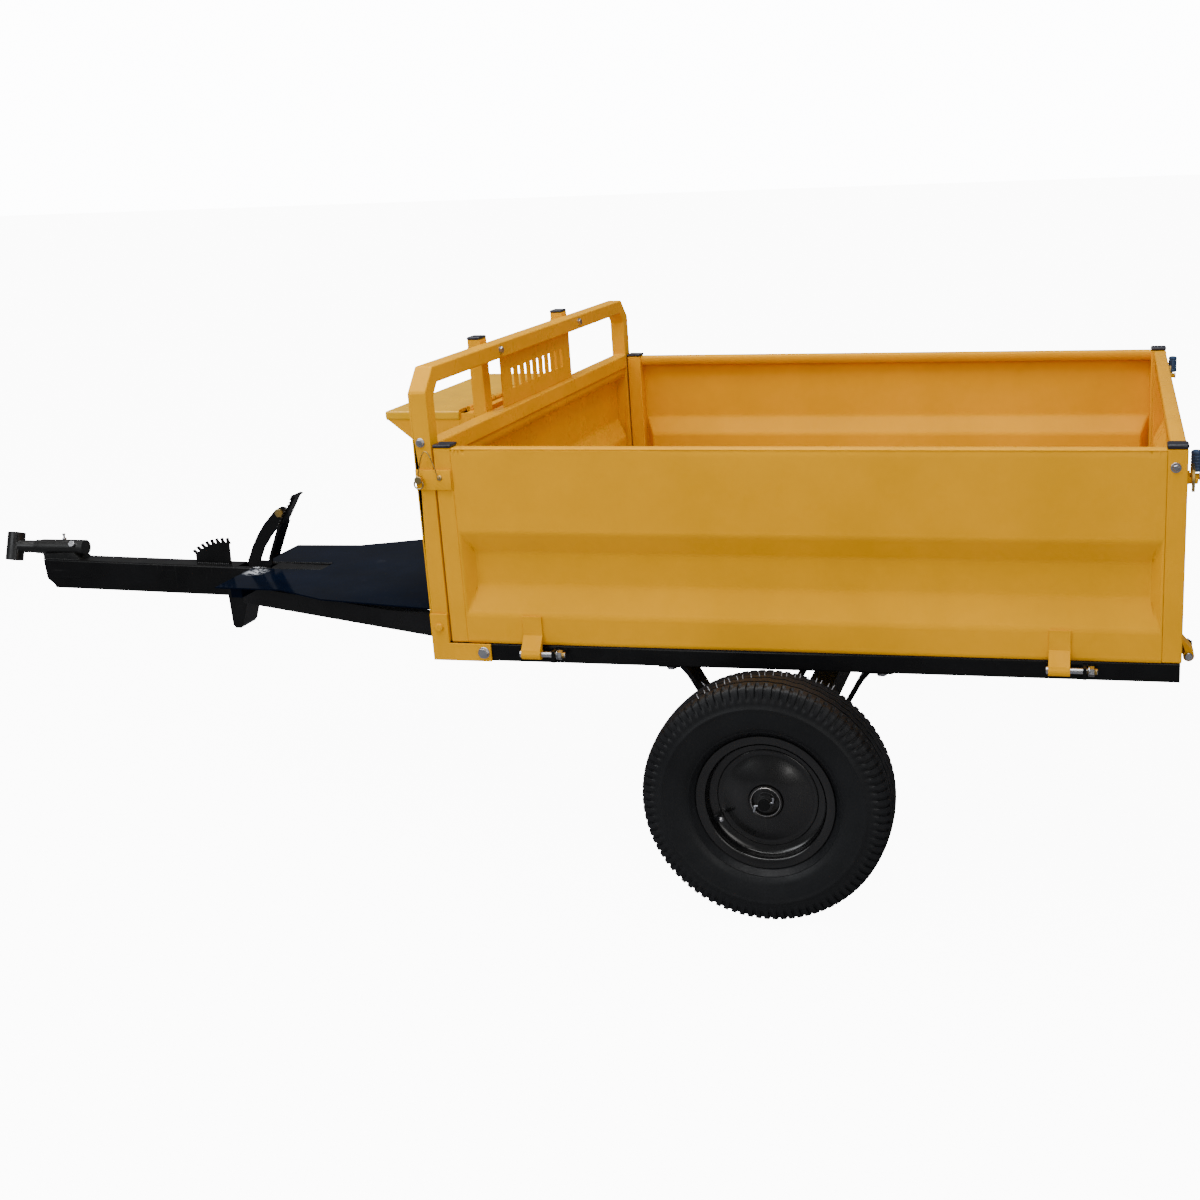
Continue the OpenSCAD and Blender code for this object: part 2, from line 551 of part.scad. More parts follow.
module corner_brackets() color([0.8, 0.57, 0.12]) both()
  side_plate(half_w, half_w + 4, [[bed_front - 107, rail_z], [bed_front, rail_z],
    [bed_front, bed_z + 52], [bed_front - 32, bed_z + 52], [bed_front - 32, bed_z - 0.5],
    [bed_front - 107, bed_z - 0.5]]);

// ---------- hinges ----------
// strap profile: v outward from the panel face, w up; eye round the hinge bolt
module strap_2d() difference() {
  union() {
    polygon([[0, side_z + 50], [3, side_z + 50], [3, side_z + 17], [21, hinge_z + 8],
      [hinge_out + 8.5, hinge_z], [hinge_out - 5, hinge_z + 6], [0, side_z + 20]]);
    translate([hinge_out, hinge_z]) circle(r = 9);
  }
  translate([hinge_out, hinge_z]) circle(r = hinge_r + run);
}
module strap_at(x) translate([x - strap_w / 2, half_w, 0]) rotate([90, 0, 90])
  linear_extrude(strap_w) strap_2d();
module side_straps() color([0.8, 0.57, 0.12]) for (x = strap_xs) strap_at(x);
module lug_2d() polygon([[0, rail_z + 4], [hinge_out + 8, rail_z + 8], [hinge_out + 8, hinge_z + 8],
  [hinge_out - 6, hinge_z + 8], [0, bed_z - 4]]);
module hinge_lugs() color([0.06, 0.06, 0.07]) {
  both() for (x = strap_xs) difference() {
    translate([x - strap_w / 2 - 26, half_w, 0]) rotate([90, 0, 90]) linear_extrude(6) lug_2d();
    xcyl(x - 60, x, half_w + hinge_out, hinge_z, hinge_r);
  }
  both() difference() {
    translate([-bed_rear + 2, gate_ys[0] - strap_w / 2 - 26, 0]) mirror([1, 0, 0])
      translate([0, 6, 0]) rotate([90, 0, 0]) linear_extrude(6)
        polygon([[0, rail_z + 4], [hinge_out + 10, rail_z + 8], [hinge_out + 10, hinge_z + 8],
          [hinge_out - 4, hinge_z + 8], [0, bed_z - 4]]);
    ycyl(-bed_rear - hinge_out, 0, half_w, hinge_z, hinge_r);
  }
}
module hinge_bolts() color([0.78, 0.78, 0.8]) {
  both() for (x = strap_xs) {
    xcyl(x - strap_w / 2 - 42, x + strap_w / 2 + 1, half_w + hinge_out, hinge_z, hinge_r);
    hex_x(x - strap_w / 2 - 38, half_w + hinge_out, hinge_z, 15, 12);
    hex_x(x + strap_w / 2 + 0.5, half_w + hinge_out, hinge_z, 15, 5);
  }
  both() {
    ycyl(-bed_rear - hinge_out, gate_ys[0] - strap_w / 2 - 42, gate_ys[0] + strap_w / 2 + 1,
      hinge_z, hinge_r);
    hex_y(-bed_rear - hinge_out, gate_ys[0] - strap_w / 2 - 38, hinge_z, 15, 12);
    hex_y(-bed_rear - hinge_out, gate_ys[0] + strap_w / 2 + 0.5, hinge_z, 15, 5);
  }
}

// ---------- fold-down sides (drawn on the left) ----------
side_u0 = -bed_rear + stile_x;
side_u1 = bed_front - 35 - stile_x;
module side_panel() color([0.8, 0.57, 0.12]) translate([0, half_w, 0])
  pressed(side_u0, side_u1, side_z, side_top, press_d);
module stile(x) difference() {
  block(x, x + stile_x, half_w - stile_y, half_w, side_z, side_top);
  block(x + 3, x + stile_x - 3, half_w - stile_y + 3, half_w - 3, side_z - 5, side_top + 5);
}
module side_stiles() color([0.8, 0.57, 0.12]) {
  stile(-bed_rear);
  stile(side_u1);
  // keeper stud that the tailgate latch hooks over
  xcyl(-bed_rear - 16, -bed_rear + 1, keeper_y, latch_z, 5);
}
// plastic caps, hasp plate, rivet, lanyard bolt
module side_fittings() {
  color([0.17, 0.18, 0.22]) {
    block(-bed_rear - 1, -bed_rear + stile_x + 1, half_w - stile_y - 1, half_w + 1, side_top, side_top + 8);
    block(-bed_rear + 3, -bed_rear + stile_x - 3, half_w - 27, half_w - 3, side_top - 14, side_top + 1);
    block(side_u1 - 1, side_u1 + stile_x + 1, half_w - stile_y - 1, half_w + 1, side_top, side_top + 6);
    block(side_u1 + 3, side_u1 + stile_x - 3, half_w - 27, half_w - 3, side_top - 14, side_top + 1);
  }
  color([0.8, 0.57, 0.12]) difference() {
    block(side_u1 + 2, bed_front - 1, half_w + 0.3, half_w + 4.3, pin_z - 18, pin_z + 17);
    ycyl(pin_x, half_w - 5, half_w + 10, pin_z, 4.5);
  }
  color([0.8, 0.7, 0.4]) {
    ycyl(side_u1 + 22, half_w + 4.3, half_w + 6.5, pin_z + 3, 5);
    hex_y(-bed_rear + 18, half_w, side_top - 28, 10, 5);
  }
}
// locking pin with pull ring; slides outward through the hasp plate
module lock_pin() color([0.78, 0.62, 0.25]) {
  ycyl(pin_x, post_y + 14, half_w + 12, pin_z, 4);
  ycyl(pin_x, half_w + 6, half_w + 12, pin_z, 7);
  translate([pin_x, half_w + 9, pin_z - 7]) rotate([90, 0, 0]) rotate_extrude() translate([8, 0])
    circle(r = 1.6, $fn = 16);
}

// ---------- tailgate ----------
gate_half = half_w - 33;
module tailgate_panel() color([0.8, 0.57, 0.12])
  translate([-bed_rear, 0, 0]) rotate([0, 0, 90])
    pressed(-gate_half + stile_x, gate_half - stile_x, side_z, side_top, press_d);
module tailgate_stiles() color([0.8, 0.57, 0.12]) both() difference() {
  union() {
    difference() {
      block(-bed_rear, -bed_rear + 25, gate_half - stile_x, gate_half, side_z, side_top);
      block(-bed_rear + 3, -bed_rear + 22, gate_half - stile_x + 3, gate_half - 3, side_z - 5, side_top - 2);
    }
    // boss and pivot pin of the latch
    xcyl(-bed_rear - 20, -bed_rear + 1, latch_y, latch_z, 5);
    xcyl(-bed_rear - 5, -bed_rear, latch_y, latch_z, 9);
  }
}
module tailgate_straps() color([0.8, 0.57, 0.12]) for (y = gate_ys)
  translate([-bed_rear, y + strap_w / 2, 0]) rotate([90, 0, 0]) linear_extrude(strap_w)
    mirror([1, 0]) strap_2d();
// swing lever: hook toward the side panel, grip upward
module latch() difference() {
  union() {
    color([0.8, 0.65, 0.3]) {
      xcyl(-bed_rear - 11, -bed_rear - 6, latch_y, latch_z, 11);
      intersection() {
        difference() {
          xcyl(-bed_rear - 11, -bed_rear - 6, latch_y, latch_z, keeper_y - latch_y + 13);
          xcyl(-bed_rear - 20, -bed_rear, latch_y, latch_z, keeper_y - latch_y - 12);
        }
        block(-bed_rear - 11, -bed_rear - 6, latch_y, latch_y + 60, latch_z - 16, latch_z + 22);
      }
      block(-bed_rear - 11, -bed_rear - 6, latch_y, latch_y + 24, latch_z + 8, latch_z + 20);
      block(-bed_rear - 11, -bed_rear - 6, latch_y - 9, latch_y + 9, latch_z, latch_z + 22);
    }
    color([0.1, 0.22, 0.42]) translate([-bed_rear - 14, latch_y, latch_z + 16]) cylinder(h = 42, r = 9);
  }
  xcyl(-bed_rear - 30, -bed_rear, latch_y, latch_z, 5 + run);
  // arc slot for the keeper stud, open downward
  intersection() {
    difference() {
      xcyl(-bed_rear - 30, -bed_rear, latch_y, latch_z, keeper_y - latch_y + 6);
      xcyl(-bed_rear - 31, -bed_rear + 1, latch_y, latch_z, keeper_y - latch_y - 6);
    }
    block(-bed_rear - 30, -bed_rear, latch_y, latch_y + 60, latch_z - 40, latch_z + 6);
  }
}

// ---------- wheels (drawn about the wheel centre, outer side +Y) ----------
module wheel_spin() translate([0, wheel_y, axle_z]) rotate([-90, 0, 0]) rotate_extrude($fn = 96) children();
tw = tyre_w / 2;
module tyre() color([0.11, 0.11, 0.11]) wheel_spin() difference() {
  polygon([[102, -27.5], [117.6, -27.7], [119, -32], [132, -tw + 9], [150, -tw + 2], [166, -tw],
    [182, -tw + 2], [196, -tw + 5], [tyre_r - 6, -tw + 8], [tyre_r - 2, -30], [tyre_r, -12],
    [tyre_r, 12], [tyre_r - 2, 30], [tyre_r - 6, tw - 8], [196, tw - 5], [182, tw - 2], [166, tw],
    [150, tw - 2], [132, tw - 9], [119, 32], [117.6, 27.7], [102, 27.5], [102, 16], [112, 18],
    [132, tw - 18], [150, tw - 10], [166, tw - 8], [182, tw - 10], [194, tw - 16], [198, 24],
    [199, 0], [198, -24], [194, -tw + 16], [182, -tw + 10], [166, -tw + 8], [150, -tw + 10],
    [132, -tw + 18], [112, -18], [102, -16]]);
  for (y = [-24, -8, 8, 24]) translate([tyre_r - 5, y - 1.5]) square([10, 3]);
}
module wheel_rubber() {
  tyre();
  inner_tube();
}
// inflated inner tube, half a millimetre inside the tyre
module inner_tube() color([0.2, 0.2, 0.2]) wheel_spin() difference() {
  polygon([[104, -14], [112.4, -17.2], [132.3, -tw + 18.7], [150.2, -tw + 10.7], [166, -tw + 8.6],
    [181.7, -tw + 10.6], [193.5, -tw + 16.4], [197.4, -24], [198.4, 0], [197.4, 24],
    [193.5, tw - 16.4], [181.7, tw - 10.6], [166, tw - 8.6], [150.2, tw - 10.7],
    [132.3, tw - 18.7], [112.4, 17.2], [104, 14]]);
  polygon([[107, -11], [134, -tw + 22], [166, -tw + 12], [190, -tw + 18], [195, 0],
    [190, tw - 18], [166, tw - 12], [134, tw - 22], [107, 11]]);
}
module rim() difference() {
  union() {
    color([0.05, 0.05, 0.05]) wheel_spin() {
      // drop-centre rim with rolled flanges
      polygon([[116, 32], [117, 30], [116, 28], [101.7, 28], [101.7, 12], [88, 8], [88, -8],
        [101.7, -12], [101.7, -28], [116, -28], [117, -30], [116, -32], [99.4, -30.5], [99.4, -13.5],
        [85.6, -9.5], [85.6, 9.5], [99.4, 13.5], [99.4, 30.5]]);
      // dished disc with its centre collar
      polygon([[86, 7], [78, 7], [60, 14], [40, 20], [29, 22], [29, 25], [41, 23], [61, 17], [78.5, 10],
        [86, 10]]);
    }
    // valve stem through the well
    color([0.15, 0.15, 0.15]) translate([0, wheel_y, axle_z]) rotate([0, 24, 0])
      translate([96, 10, 0]) rotate([-60, 0, 90]) cylinder(h = 34, r = 4);
  }
}
// hub shell with its drum, and two ball bearings as solids of their own
module hub() {
  color([0.4, 0.4, 0.42]) wheel_spin()
    polygon([[28, -28], [28, -12], [drum_ri, -12], [drum_ri, wheel_in + 9], [82, wheel_in + 9], [82, -6],
      [28, -6], [28, 27], [23.5, 27], [23.5, 8], [20, 8], [20, -14], [23.5, -14], [23.5, -28]]);
  color([0.7, 0.7, 0.72]) wheel_spin() {
    translate([spindle_d / 2 + run, 8.2]) square([23.4 - spindle_d / 2, 14]);
    translate([spindle_d / 2 + run, -28.2]) square([23.4 - spindle_d / 2, 14]);
  }
}
wheel_in = half_w - wheel_y - 4;
function arc_pt(t) = [side_u1 + 22 + (pin_x - side_u1 - 22) * t, half_w + 8.5 + 2 * sin(180 * t),
  pin_z + 3 + 44 * sin(180 * t) + 5 * t];
// swept tube through points, eight sides, ends closed
module tube(p, r) {
  n = len(p);
  m = 8;
  pts = [for (i = [0:n - 1]) let (d = p[min(i + 1, n - 1)] - p[max(i - 1, 0)], e = d / norm(d),
    s = cross(e, [0, 1, 0]) / norm(cross(e, [0, 1, 0])), q = cross(e, s))
    for (k = [0:m - 1]) p[i] + r * (s * cos(360 * k / m) + q * sin(360 * k / m))];
  sides = [for (i = [0:n - 2]) for (k = [0:m - 1]) let (a = i * m + k, b = i * m + (k + 1) % m)
    [a, b, b + m, a + m]];
  polyhedron(points = pts, faces = concat(sides, [[for (k = [m - 1:-1:0]) k]],
    [[for (k = [0:m - 1]) (n - 1) * m + k]]));
}
module lanyard() color([0.7, 0.55, 0.2]) tube([for (i = [0:16]) arc_pt(i / 16)], 1);

place() drawbar_beam();
place() drawbar_arm();  // drawbar_arm_left
place() mirror([0, 1, 0]) drawbar_arm();  // drawbar_arm_right
place() rest_foot();
place() footplate();
place() hitch_housing();
place() hitch_eye();
place() hitch_fittings();
place() brake_quadrant();
place() brake_pedal();
place() pedal_bolt();
place() pedal_pawl();
place() pedal_pin();
place() brake_rod();
place() brake_camshaft();
place() side_rails();
place() cross_members();
place() floor_sheet();
place() axle_beam();
place() axle_hangers();
place() frame_bolts();
place() backing_plates();
place() shoe();  // upper_shoe_left
place() lower() shoe();  // lower_shoe_left
place() mirror([0, 1, 0]) shoe();  // upper_shoe_right
place() mirror([0, 1, 0]) lower() shoe();  // lower_shoe_right
place() castle_nuts();
place() headboard_frame();
place() headboard_panel();
place() backrest_plate();
place() seat_stakes();
place() stake_caps();
place() seat_box();
place() seat_lid();
place() corner_brackets();
place() hinge_lugs();
place() hinge_bolts();
place() side_panel();  // dropside_left
place() side_stiles();  // side_stiles_left
place() side_straps();  // side_straps_left
place() side_fittings();  // side_fittings_left
place() mirror([0, 1, 0]) side_panel();  // dropside_right
place() mirror([0, 1, 0]) side_stiles();  // side_stiles_right
place() mirror([0, 1, 0]) side_straps();  // side_straps_right
place() mirror([0, 1, 0]) side_fittings();  // side_fittings_right
place() tailgate_panel();
place() tailgate_stiles();
place() tailgate_straps();
place() latch();  // latch_left
place() mirror([0, 1, 0]) latch();  // latch_right
place() lock_pin();  // lock_pin_left
place() mirror([0, 1, 0]) lock_pin();  // lock_pin_right
place() wheel_rubber();  // tyre_left
place() rim();  // rim_left
place() hub();  // hub_left
place() mirror([0, 1, 0]) wheel_rubber();  // tyre_right
place() mirror([0, 1, 0]) rim();  // rim_right
place() mirror([0, 1, 0]) hub();  // hub_right
place() lanyard();  // lanyard_left
place() mirror([0, 1, 0]) lanyard();  // lanyard_right
module lower() {
  translate([0, 0, axle_z]) mirror([0, 0, 1]) translate([0, 0, -axle_z]) children();
}
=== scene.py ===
# %% [markdown]
# # A tow-behind dropside cart
# The engineering model gives every tube, plate and joint its true size and place.
# This lesson lays the looks over it: rounded steel, pressed panels, a treaded tyre,
# welds, and paint that has been used. Nothing structural is moved.

# %% Load the fixed frame
import json
import math
import bmesh
import bpy
import numpy as np
from mathutils import Matrix, Vector

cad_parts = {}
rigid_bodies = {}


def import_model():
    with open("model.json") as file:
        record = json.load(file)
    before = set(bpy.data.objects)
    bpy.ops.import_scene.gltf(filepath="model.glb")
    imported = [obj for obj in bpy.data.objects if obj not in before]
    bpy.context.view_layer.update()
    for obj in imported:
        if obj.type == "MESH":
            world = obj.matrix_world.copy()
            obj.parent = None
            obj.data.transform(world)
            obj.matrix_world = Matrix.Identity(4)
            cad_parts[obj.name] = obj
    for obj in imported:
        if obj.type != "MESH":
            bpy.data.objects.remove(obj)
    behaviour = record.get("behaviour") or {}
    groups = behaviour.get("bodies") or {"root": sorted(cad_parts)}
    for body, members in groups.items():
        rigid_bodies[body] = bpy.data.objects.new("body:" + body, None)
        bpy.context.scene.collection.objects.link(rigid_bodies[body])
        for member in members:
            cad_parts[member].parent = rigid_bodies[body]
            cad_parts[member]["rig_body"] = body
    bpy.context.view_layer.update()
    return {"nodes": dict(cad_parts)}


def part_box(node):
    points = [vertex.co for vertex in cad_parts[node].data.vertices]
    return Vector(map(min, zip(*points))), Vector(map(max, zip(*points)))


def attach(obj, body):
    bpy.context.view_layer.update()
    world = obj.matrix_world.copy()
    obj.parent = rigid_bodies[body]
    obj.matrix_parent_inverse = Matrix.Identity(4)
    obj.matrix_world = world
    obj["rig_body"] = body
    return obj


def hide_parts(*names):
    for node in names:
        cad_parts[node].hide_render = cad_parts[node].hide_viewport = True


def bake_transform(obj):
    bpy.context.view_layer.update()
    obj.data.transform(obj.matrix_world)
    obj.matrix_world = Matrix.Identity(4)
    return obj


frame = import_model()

# %% [markdown]
# ## A ruler
# Sizes are easiest to think about from the axle: X forward of it, Y to the left, Z up
# from the ground, all in millimetres. P turns such a point into the shared frame.

# %% Ruler and named sizes
MID_X = 598.75  # the shared frame starts this far ahead of the axle


def P(x, y, z):
    """A point on the ruler, in millimetres, as metres in the shared frame."""
    return np.array([(x - MID_X) / 1000, y / 1000, z / 1000])


HALF_W, BED_Z, SIDE_Z, SIDE_TOP = 562, 440, 441, 781
AXLE_Z, WHEEL_Y = 210, 623
STRAP_X, GATE_HINGE_Y = (414, -469), 470
HINGE_Y, HINGE_Z = 576, 428
PIN_X, PIN_Z = 592, 728
LATCH_Y, LATCH_Z = 515, 730
SIDES = ((1, "left"), (-1, "right"))
low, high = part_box("dropside_left")
print("side panel box", [round(c * 1000) for c in low], [round(c * 1000) for c in high])

# %% [markdown]
# ## A small mesh workshop
# Real parts are turned, swept, bent or sawn. Three moves cover nearly all of them here:
# a grid of points, a profile spun about an axis, and a round section swept along a path.

# %% Mesh workshop


class Geo:
    """Collects points and faces, then turns them into one named piece on a body."""

    def __init__(self):
        self.v, self.f = [], []

    def grid(self, pts, wrap_a=False, wrap_b=False):
        """Faces over rows of points; either direction can close on itself."""
        pts = np.asarray(pts, float)
        na, nb = pts.shape[:2]
        base = len(self.v)
        self.v += pts.reshape(-1, 3).tolist()
        for i in range(na if wrap_a else na - 1):
            for j in range(nb if wrap_b else nb - 1):
                a, b = base + i * nb, base + (i + 1) % na * nb
                k = (j + 1) % nb
                self.f.append((a + j, b + j, b + k, a + k))
        return self

    def spin(self, profile, centre, axis, seg=64, closed=False):
        """Turn a profile of (radius, height) pairs in millimetres about an axis."""
        w = Vector(axis).normalized()
        u = w.orthogonal().normalized()
        n = np.array(w.cross(u))
        u, w = np.array(u), np.array(w)
        ang = np.linspace(0, 2 * math.pi, seg, endpoint=False)
        ring = np.cos(ang)[:, None] * u + np.sin(ang)[:, None] * n
        pts = [[np.array(centre) + (r * q + h * w) / 1000 for r, h in profile] for q in ring]
        return self.grid(pts, wrap_a=True, wrap_b=closed)

    def sweep(self, path, radius, sides=10, ends=True):
        """A round bar along a path; the radius may change from point to point."""
        path = [np.array(p, float) for p in path]
        n = len(path)
        rad = radius if hasattr(radius, "__len__") else [radius] * n
        up = Vector((0.13, 0.31, 0.94))
        rows = []
        for i, p in enumerate(path):
            d = Vector(path[min(i + 1, n - 1)] - path[max(i - 1, 0)]).normalized()
            if abs(d.dot(up)) > 0.97:
                up = Vector((0.9, 0.3, 0.1))
            s = d.cross(up).normalized()
            t = s.cross(d)
            up = t
            a = np.linspace(0, 2 * math.pi, sides, endpoint=False)
            ring = np.cos(a)[:, None] * np.array(s) + np.sin(a)[:, None] * np.array(t)
            rows.append(p + ring * rad[i] / 1000)
        base = len(self.v)
        self.grid(rows, wrap_b=True)
        if ends:
            self.f.append(tuple(range(base, base + sides)))
            self.f.append(tuple(base + (n - 1) * sides + k for k in range(sides)))
        return self

    def pad(self, lo, hi, r, steps=4):
        """A block with rounded edges, from corner lo to corner hi in the ruler's millimetres."""
        lo, hi = np.array(lo, float), np.array(hi, float)
        c, h = (lo + hi) / 2, (hi - lo) / 2
        r = min(r, h.min())
        rises = np.linspace(-math.pi / 2, math.pi / 2, 2 * steps)
        turns = np.concatenate([np.linspace(q, q + math.pi / 2, steps) for q in
                                np.arange(4) * math.pi / 2])
        rows = []
        for t in rises:
            ring = []
            for k, a in enumerate(turns):
                q = k // steps
                sx = 1 if q in (0, 3) else -1
                sy = 1 if q in (0, 1) else -1
                corner = np.array([sx * (h[0] - r), sy * (h[1] - r),
                                   (1 if t > 0 else -1) * (h[2] - r)])
                d = np.array([math.cos(t) * math.cos(a), math.cos(t) * math.sin(a), math.sin(t)])
                ring.append(P(*(c + corner + d * r)))
            rows.append(ring)
        base = len(self.v)
        self.grid(rows, wrap_b=True)
        m = len(turns)
        self.f.append(tuple(base + k for k in range(m)))
        self.f.append(tuple(base + (2 * steps - 1) * m + k for k in range(m)))
        return self

    def obj(self, name, body, mat, slot, sharp=35, shell=0, part_of=()):
        """Make the piece; shell is a sheet's thickness, part_of the nodes it stands in for."""
        me = bpy.data.meshes.new(name)
        me.from_pydata(self.v, [], self.f)
        o = bpy.data.objects.new(name, me)
        bpy.context.scene.collection.objects.link(o)
        if not shell:
            bm = bmesh.new()
            bm.from_mesh(me)
            bmesh.ops.remove_doubles(bm, verts=bm.verts, dist=2e-6)
            bmesh.ops.recalc_face_normals(bm, faces=bm.faces)
            bm.to_mesh(me)
            bm.free()
        me.polygons.foreach_set("use_smooth", [True] * len(me.polygons))
        me.set_sharp_from_angle(angle=math.radians(sharp))
        me.materials.append(mat)
        if shell:
            s = o.modifiers.new("sheet", "SOLIDIFY")
            s.thickness, s.offset = shell / 1000, 0
        if body:
            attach(o, body)
        if part_of:
            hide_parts(*part_of)
        return o


def near(points, step=1.0, reach=4, coarse=45, lo=0, hi=1):
    """Grid lines from lo to hi, close together round each bend and far apart between."""
    out = set()
    for p in points:
        for k in np.arange(-reach, reach + 0.01, step):
            out.add(round(min(max(p + k, lo), hi), 3))
    out |= {lo, hi}
    out = sorted(out)
    full = []
    for a, b in zip(out, out[1:]):
        n = max(1, math.ceil((b - a) / coarse))
        full += list(np.linspace(a, b, n, endpoint=False))
    return full + [hi]


print("workshop ready")

# %% [markdown]
# ## Finishes
# Each finish is built from noise in the part's own space, so it has scale: a mottled
# colour, patches where the surface is duller, a fine texture that catches light, and
# where it belongs, dust lying on the faces that look up, thin scuffs, and a pale patch
# at a given place that is a painted highlight.

# %% Finish builder


def finish(name, base, rough, metal=0.0, coat=0.0, mottle=0.12, peel=(900, 0.02), wave=(9, 0.0),
           dull=0.12, dust=0.0, scuff=0.0, scuff_tone=(0.5, 0.45, 0.35), tint=None, painted_highlight=None,
           dust_tone=(0.42, 0.38, 0.32), spec=0.5):
    """peel and wave are (scale, height in mm) of the fine and the slow texture."""
    m = bpy.data.materials.new(name)
    m.use_nodes = True
    t = m.node_tree
    b = t.nodes["Principled BSDF"]

    def add(kind, values=None, **props):
        n = t.nodes.new(kind)
        for k, v in props.items():
            setattr(n, k, v)
        for k, v in (values or {}).items():
            n.inputs[k].default_value = v
        return n

    def noise(scale, detail=4, rough_=0.55, stretch=None):
        n = add("ShaderNodeTexNoise", {"Scale": scale, "Detail": detail, "Roughness": rough_})
        src = coord.outputs["Object"]
        if stretch:
            mp = add("ShaderNodeMapping", {"Scale": stretch})
            t.links.new(src, mp.inputs["Vector"])
            src = mp.outputs["Vector"]
        t.links.new(src, n.inputs["Vector"])
        return n.outputs["Fac"]

    def ramp(src, a, c, lo_=0.0, hi_=1.0):
        r = add("ShaderNodeMapRange", {"From Min": a, "From Max": c, "To Min": lo_, "To Max": hi_})
        t.links.new(src, r.inputs["Value"])
        return r.outputs["Result"]

    def times(x, y):
        n = add("ShaderNodeMath", operation="MULTIPLY")
        t.links.new(x, n.inputs[0])
        if isinstance(y, (int, float)):
            n.inputs[1].default_value = y
        else:
            t.links.new(y, n.inputs[1])
        return n.outputs[0]

    def plus(x, y):
        n = add("ShaderNodeMath", operation="ADD", use_clamp=True)
        t.links.new(x, n.inputs[0])
        t.links.new(y, n.inputs[1])
        return n.outputs[0]

    def mix(fac, one, two):
        n = add("ShaderNodeMix", data_type="RGBA")
        t.links.new(fac, n.inputs[0])
        for k, c in ((6, one), (7, two)):
            if isinstance(c, tuple):
                n.inputs[k].default_value = (*c, 1)
            else:
                t.links.new(c, n.inputs[k])
        return n.outputs[2]

    coord = add("ShaderNodeTexCoord")
    dark = tuple(c * (1 - mottle) for c in base)
    pale = tuple(min(1, c * (1 + mottle)) for c in base)
    colour = mix(ramp(noise(7, 5), 0.35, 0.65), dark, pale)
    if tint:
        colour = mix(times(ramp(noise(60, 3), 0.42, 0.62), tint[1]), colour, tint[0])
    rgh = ramp(noise(23, 6, 0.6), 0.3, 0.7, max(0.02, rough - dull), min(1, rough + dull))
    if scuff:
        streaks = times(ramp(noise(16, 2, 0.5, (1, 1, 34)), 0.66, 0.7),
                        ramp(noise(5, 2), 0.52, 0.62))
        across = times(ramp(noise(15, 2, 0.5, (26, 1, 1)), 0.67, 0.71),
                       ramp(noise(4, 3), 0.5, 0.6))
        mark = times(plus(streaks, across), scuff)
        colour = mix(mark, colour, scuff_tone)
        rgh = plus(rgh, times(mark, 0.35))
    if dust:
        geo = add("ShaderNodeNewGeometry")
        sep = add("ShaderNodeSeparateXYZ")
        t.links.new(geo.outputs["Normal"], sep.inputs[0])
        lie = times(ramp(sep.outputs["Z"], 0.1, 1.0, 0.25, 1.0), ramp(noise(38, 7, 0.7), 0.38, 0.75))
        film = times(lie, dust)
        colour = mix(film, colour, dust_tone)
        rgh = plus(rgh, times(film, 0.5))
    # A pale noisy patch round one given point: a painted highlight on black paint.
    if painted_highlight:
        place, size, tone = painted_highlight
        far = add("ShaderNodeVectorMath", operation="DISTANCE")
        t.links.new(coord.outputs["Object"], far.inputs[0])
        far.inputs[1].default_value = tuple(place)
        highlight_patch = times(ramp(far.outputs["Value"], size, size * 0.3),
                     ramp(noise(140, 4), 0.46, 0.54))
        colour = mix(highlight_patch, colour, tone)
        rgh = plus(rgh, times(highlight_patch, 0.3))
    t.links.new(colour, b.inputs["Base Color"])
    t.links.new(rgh, b.inputs["Roughness"])
    b.inputs["Metallic"].default_value = metal
    b.inputs["Specular IOR Level"].default_value = spec
    if coat:
        b.inputs["Coat Weight"].default_value = coat
        b.inputs["Coat Roughness"].default_value = 0.08
    fine = add("ShaderNodeBump", {"Strength": 1.0, "Distance": peel[1] / 1000})
    t.links.new(noise(peel[0], 2), fine.inputs["Height"])
    if wave[1]:
        slow = add("ShaderNodeBump", {"Strength": 1.0, "Distance": wave[1] / 1000})
        t.links.new(noise(wave[0], 1), slow.inputs["Height"])
        t.links.new(slow.outputs["Normal"], fine.inputs["Normal"])
    t.links.new(fine.outputs["Normal"], b.inputs["Normal"])
    return m


print("finish builder ready")

# %% [markdown]
# ## Paints
# Powder coat is thick and even, with a faint orange peel. It hardly mirrors, so its colour
# stays full. The black enamel is smoother and picks up the lights. The footplate barely
# mirrors: the blue in its black is a painted reflection, its pale patch a painted highlight.

# %% Paints
YELLOW = finish("yellow_powder", (0.73, 0.33, 0.0), 0.3, mottle=0.05,
                peel=(700, 0.08), wave=(7, 1.2), dull=0.08, dust=0.006, scuff=0.06,
                scuff_tone=(0.75, 0.45, 0.05), spec=0.06)
LID = finish("yellow_lid", (0.68, 0.36, 0.0), 0.22, coat=0.04, mottle=0.05,
             peel=(700, 0.06), wave=(9, 0.9), dull=0.06, dust=0.01, scuff=0.1, spec=0.25)
# Inside yellow: the same powder coat, its base darkened as painted shade for the bed's inside, with
# real dust and heavy scuffs.
INSIDE_SHADED_WORN = finish("yellow_inside_shaded_worn", (0.46, 0.265, 0.0), 0.42, mottle=0.08, peel=(650, 0.1),
               wave=(8, 0.8), dust=0.08, scuff=0.5, scuff_tone=(0.3, 0.17, 0.03))
BLACK = finish("black_enamel", (0.0045, 0.0045, 0.005), 0.24, coat=0.06, mottle=0.3,
               peel=(600, 0.07), wave=(12, 0.5), dull=0.1, dust=0.012, scuff=0.06,
               scuff_tone=(0.1, 0.1, 0.1), spec=0.14)
# The pale patch on the beam's nose beside the footplate is a painted highlight.
BEAM = finish("beam_enamel", (0.0045, 0.0045, 0.005), 0.22, coat=0.05, mottle=0.3,
              peel=(500, 0.08), wave=(14, 0.6), dull=0.1, dust=0.012, scuff=0.08,
              scuff_tone=(0.12, 0.12, 0.12), painted_highlight=(P(1250, 22, 408), 0.02, (0.5, 0.52, 0.55)),
              spec=0.1)
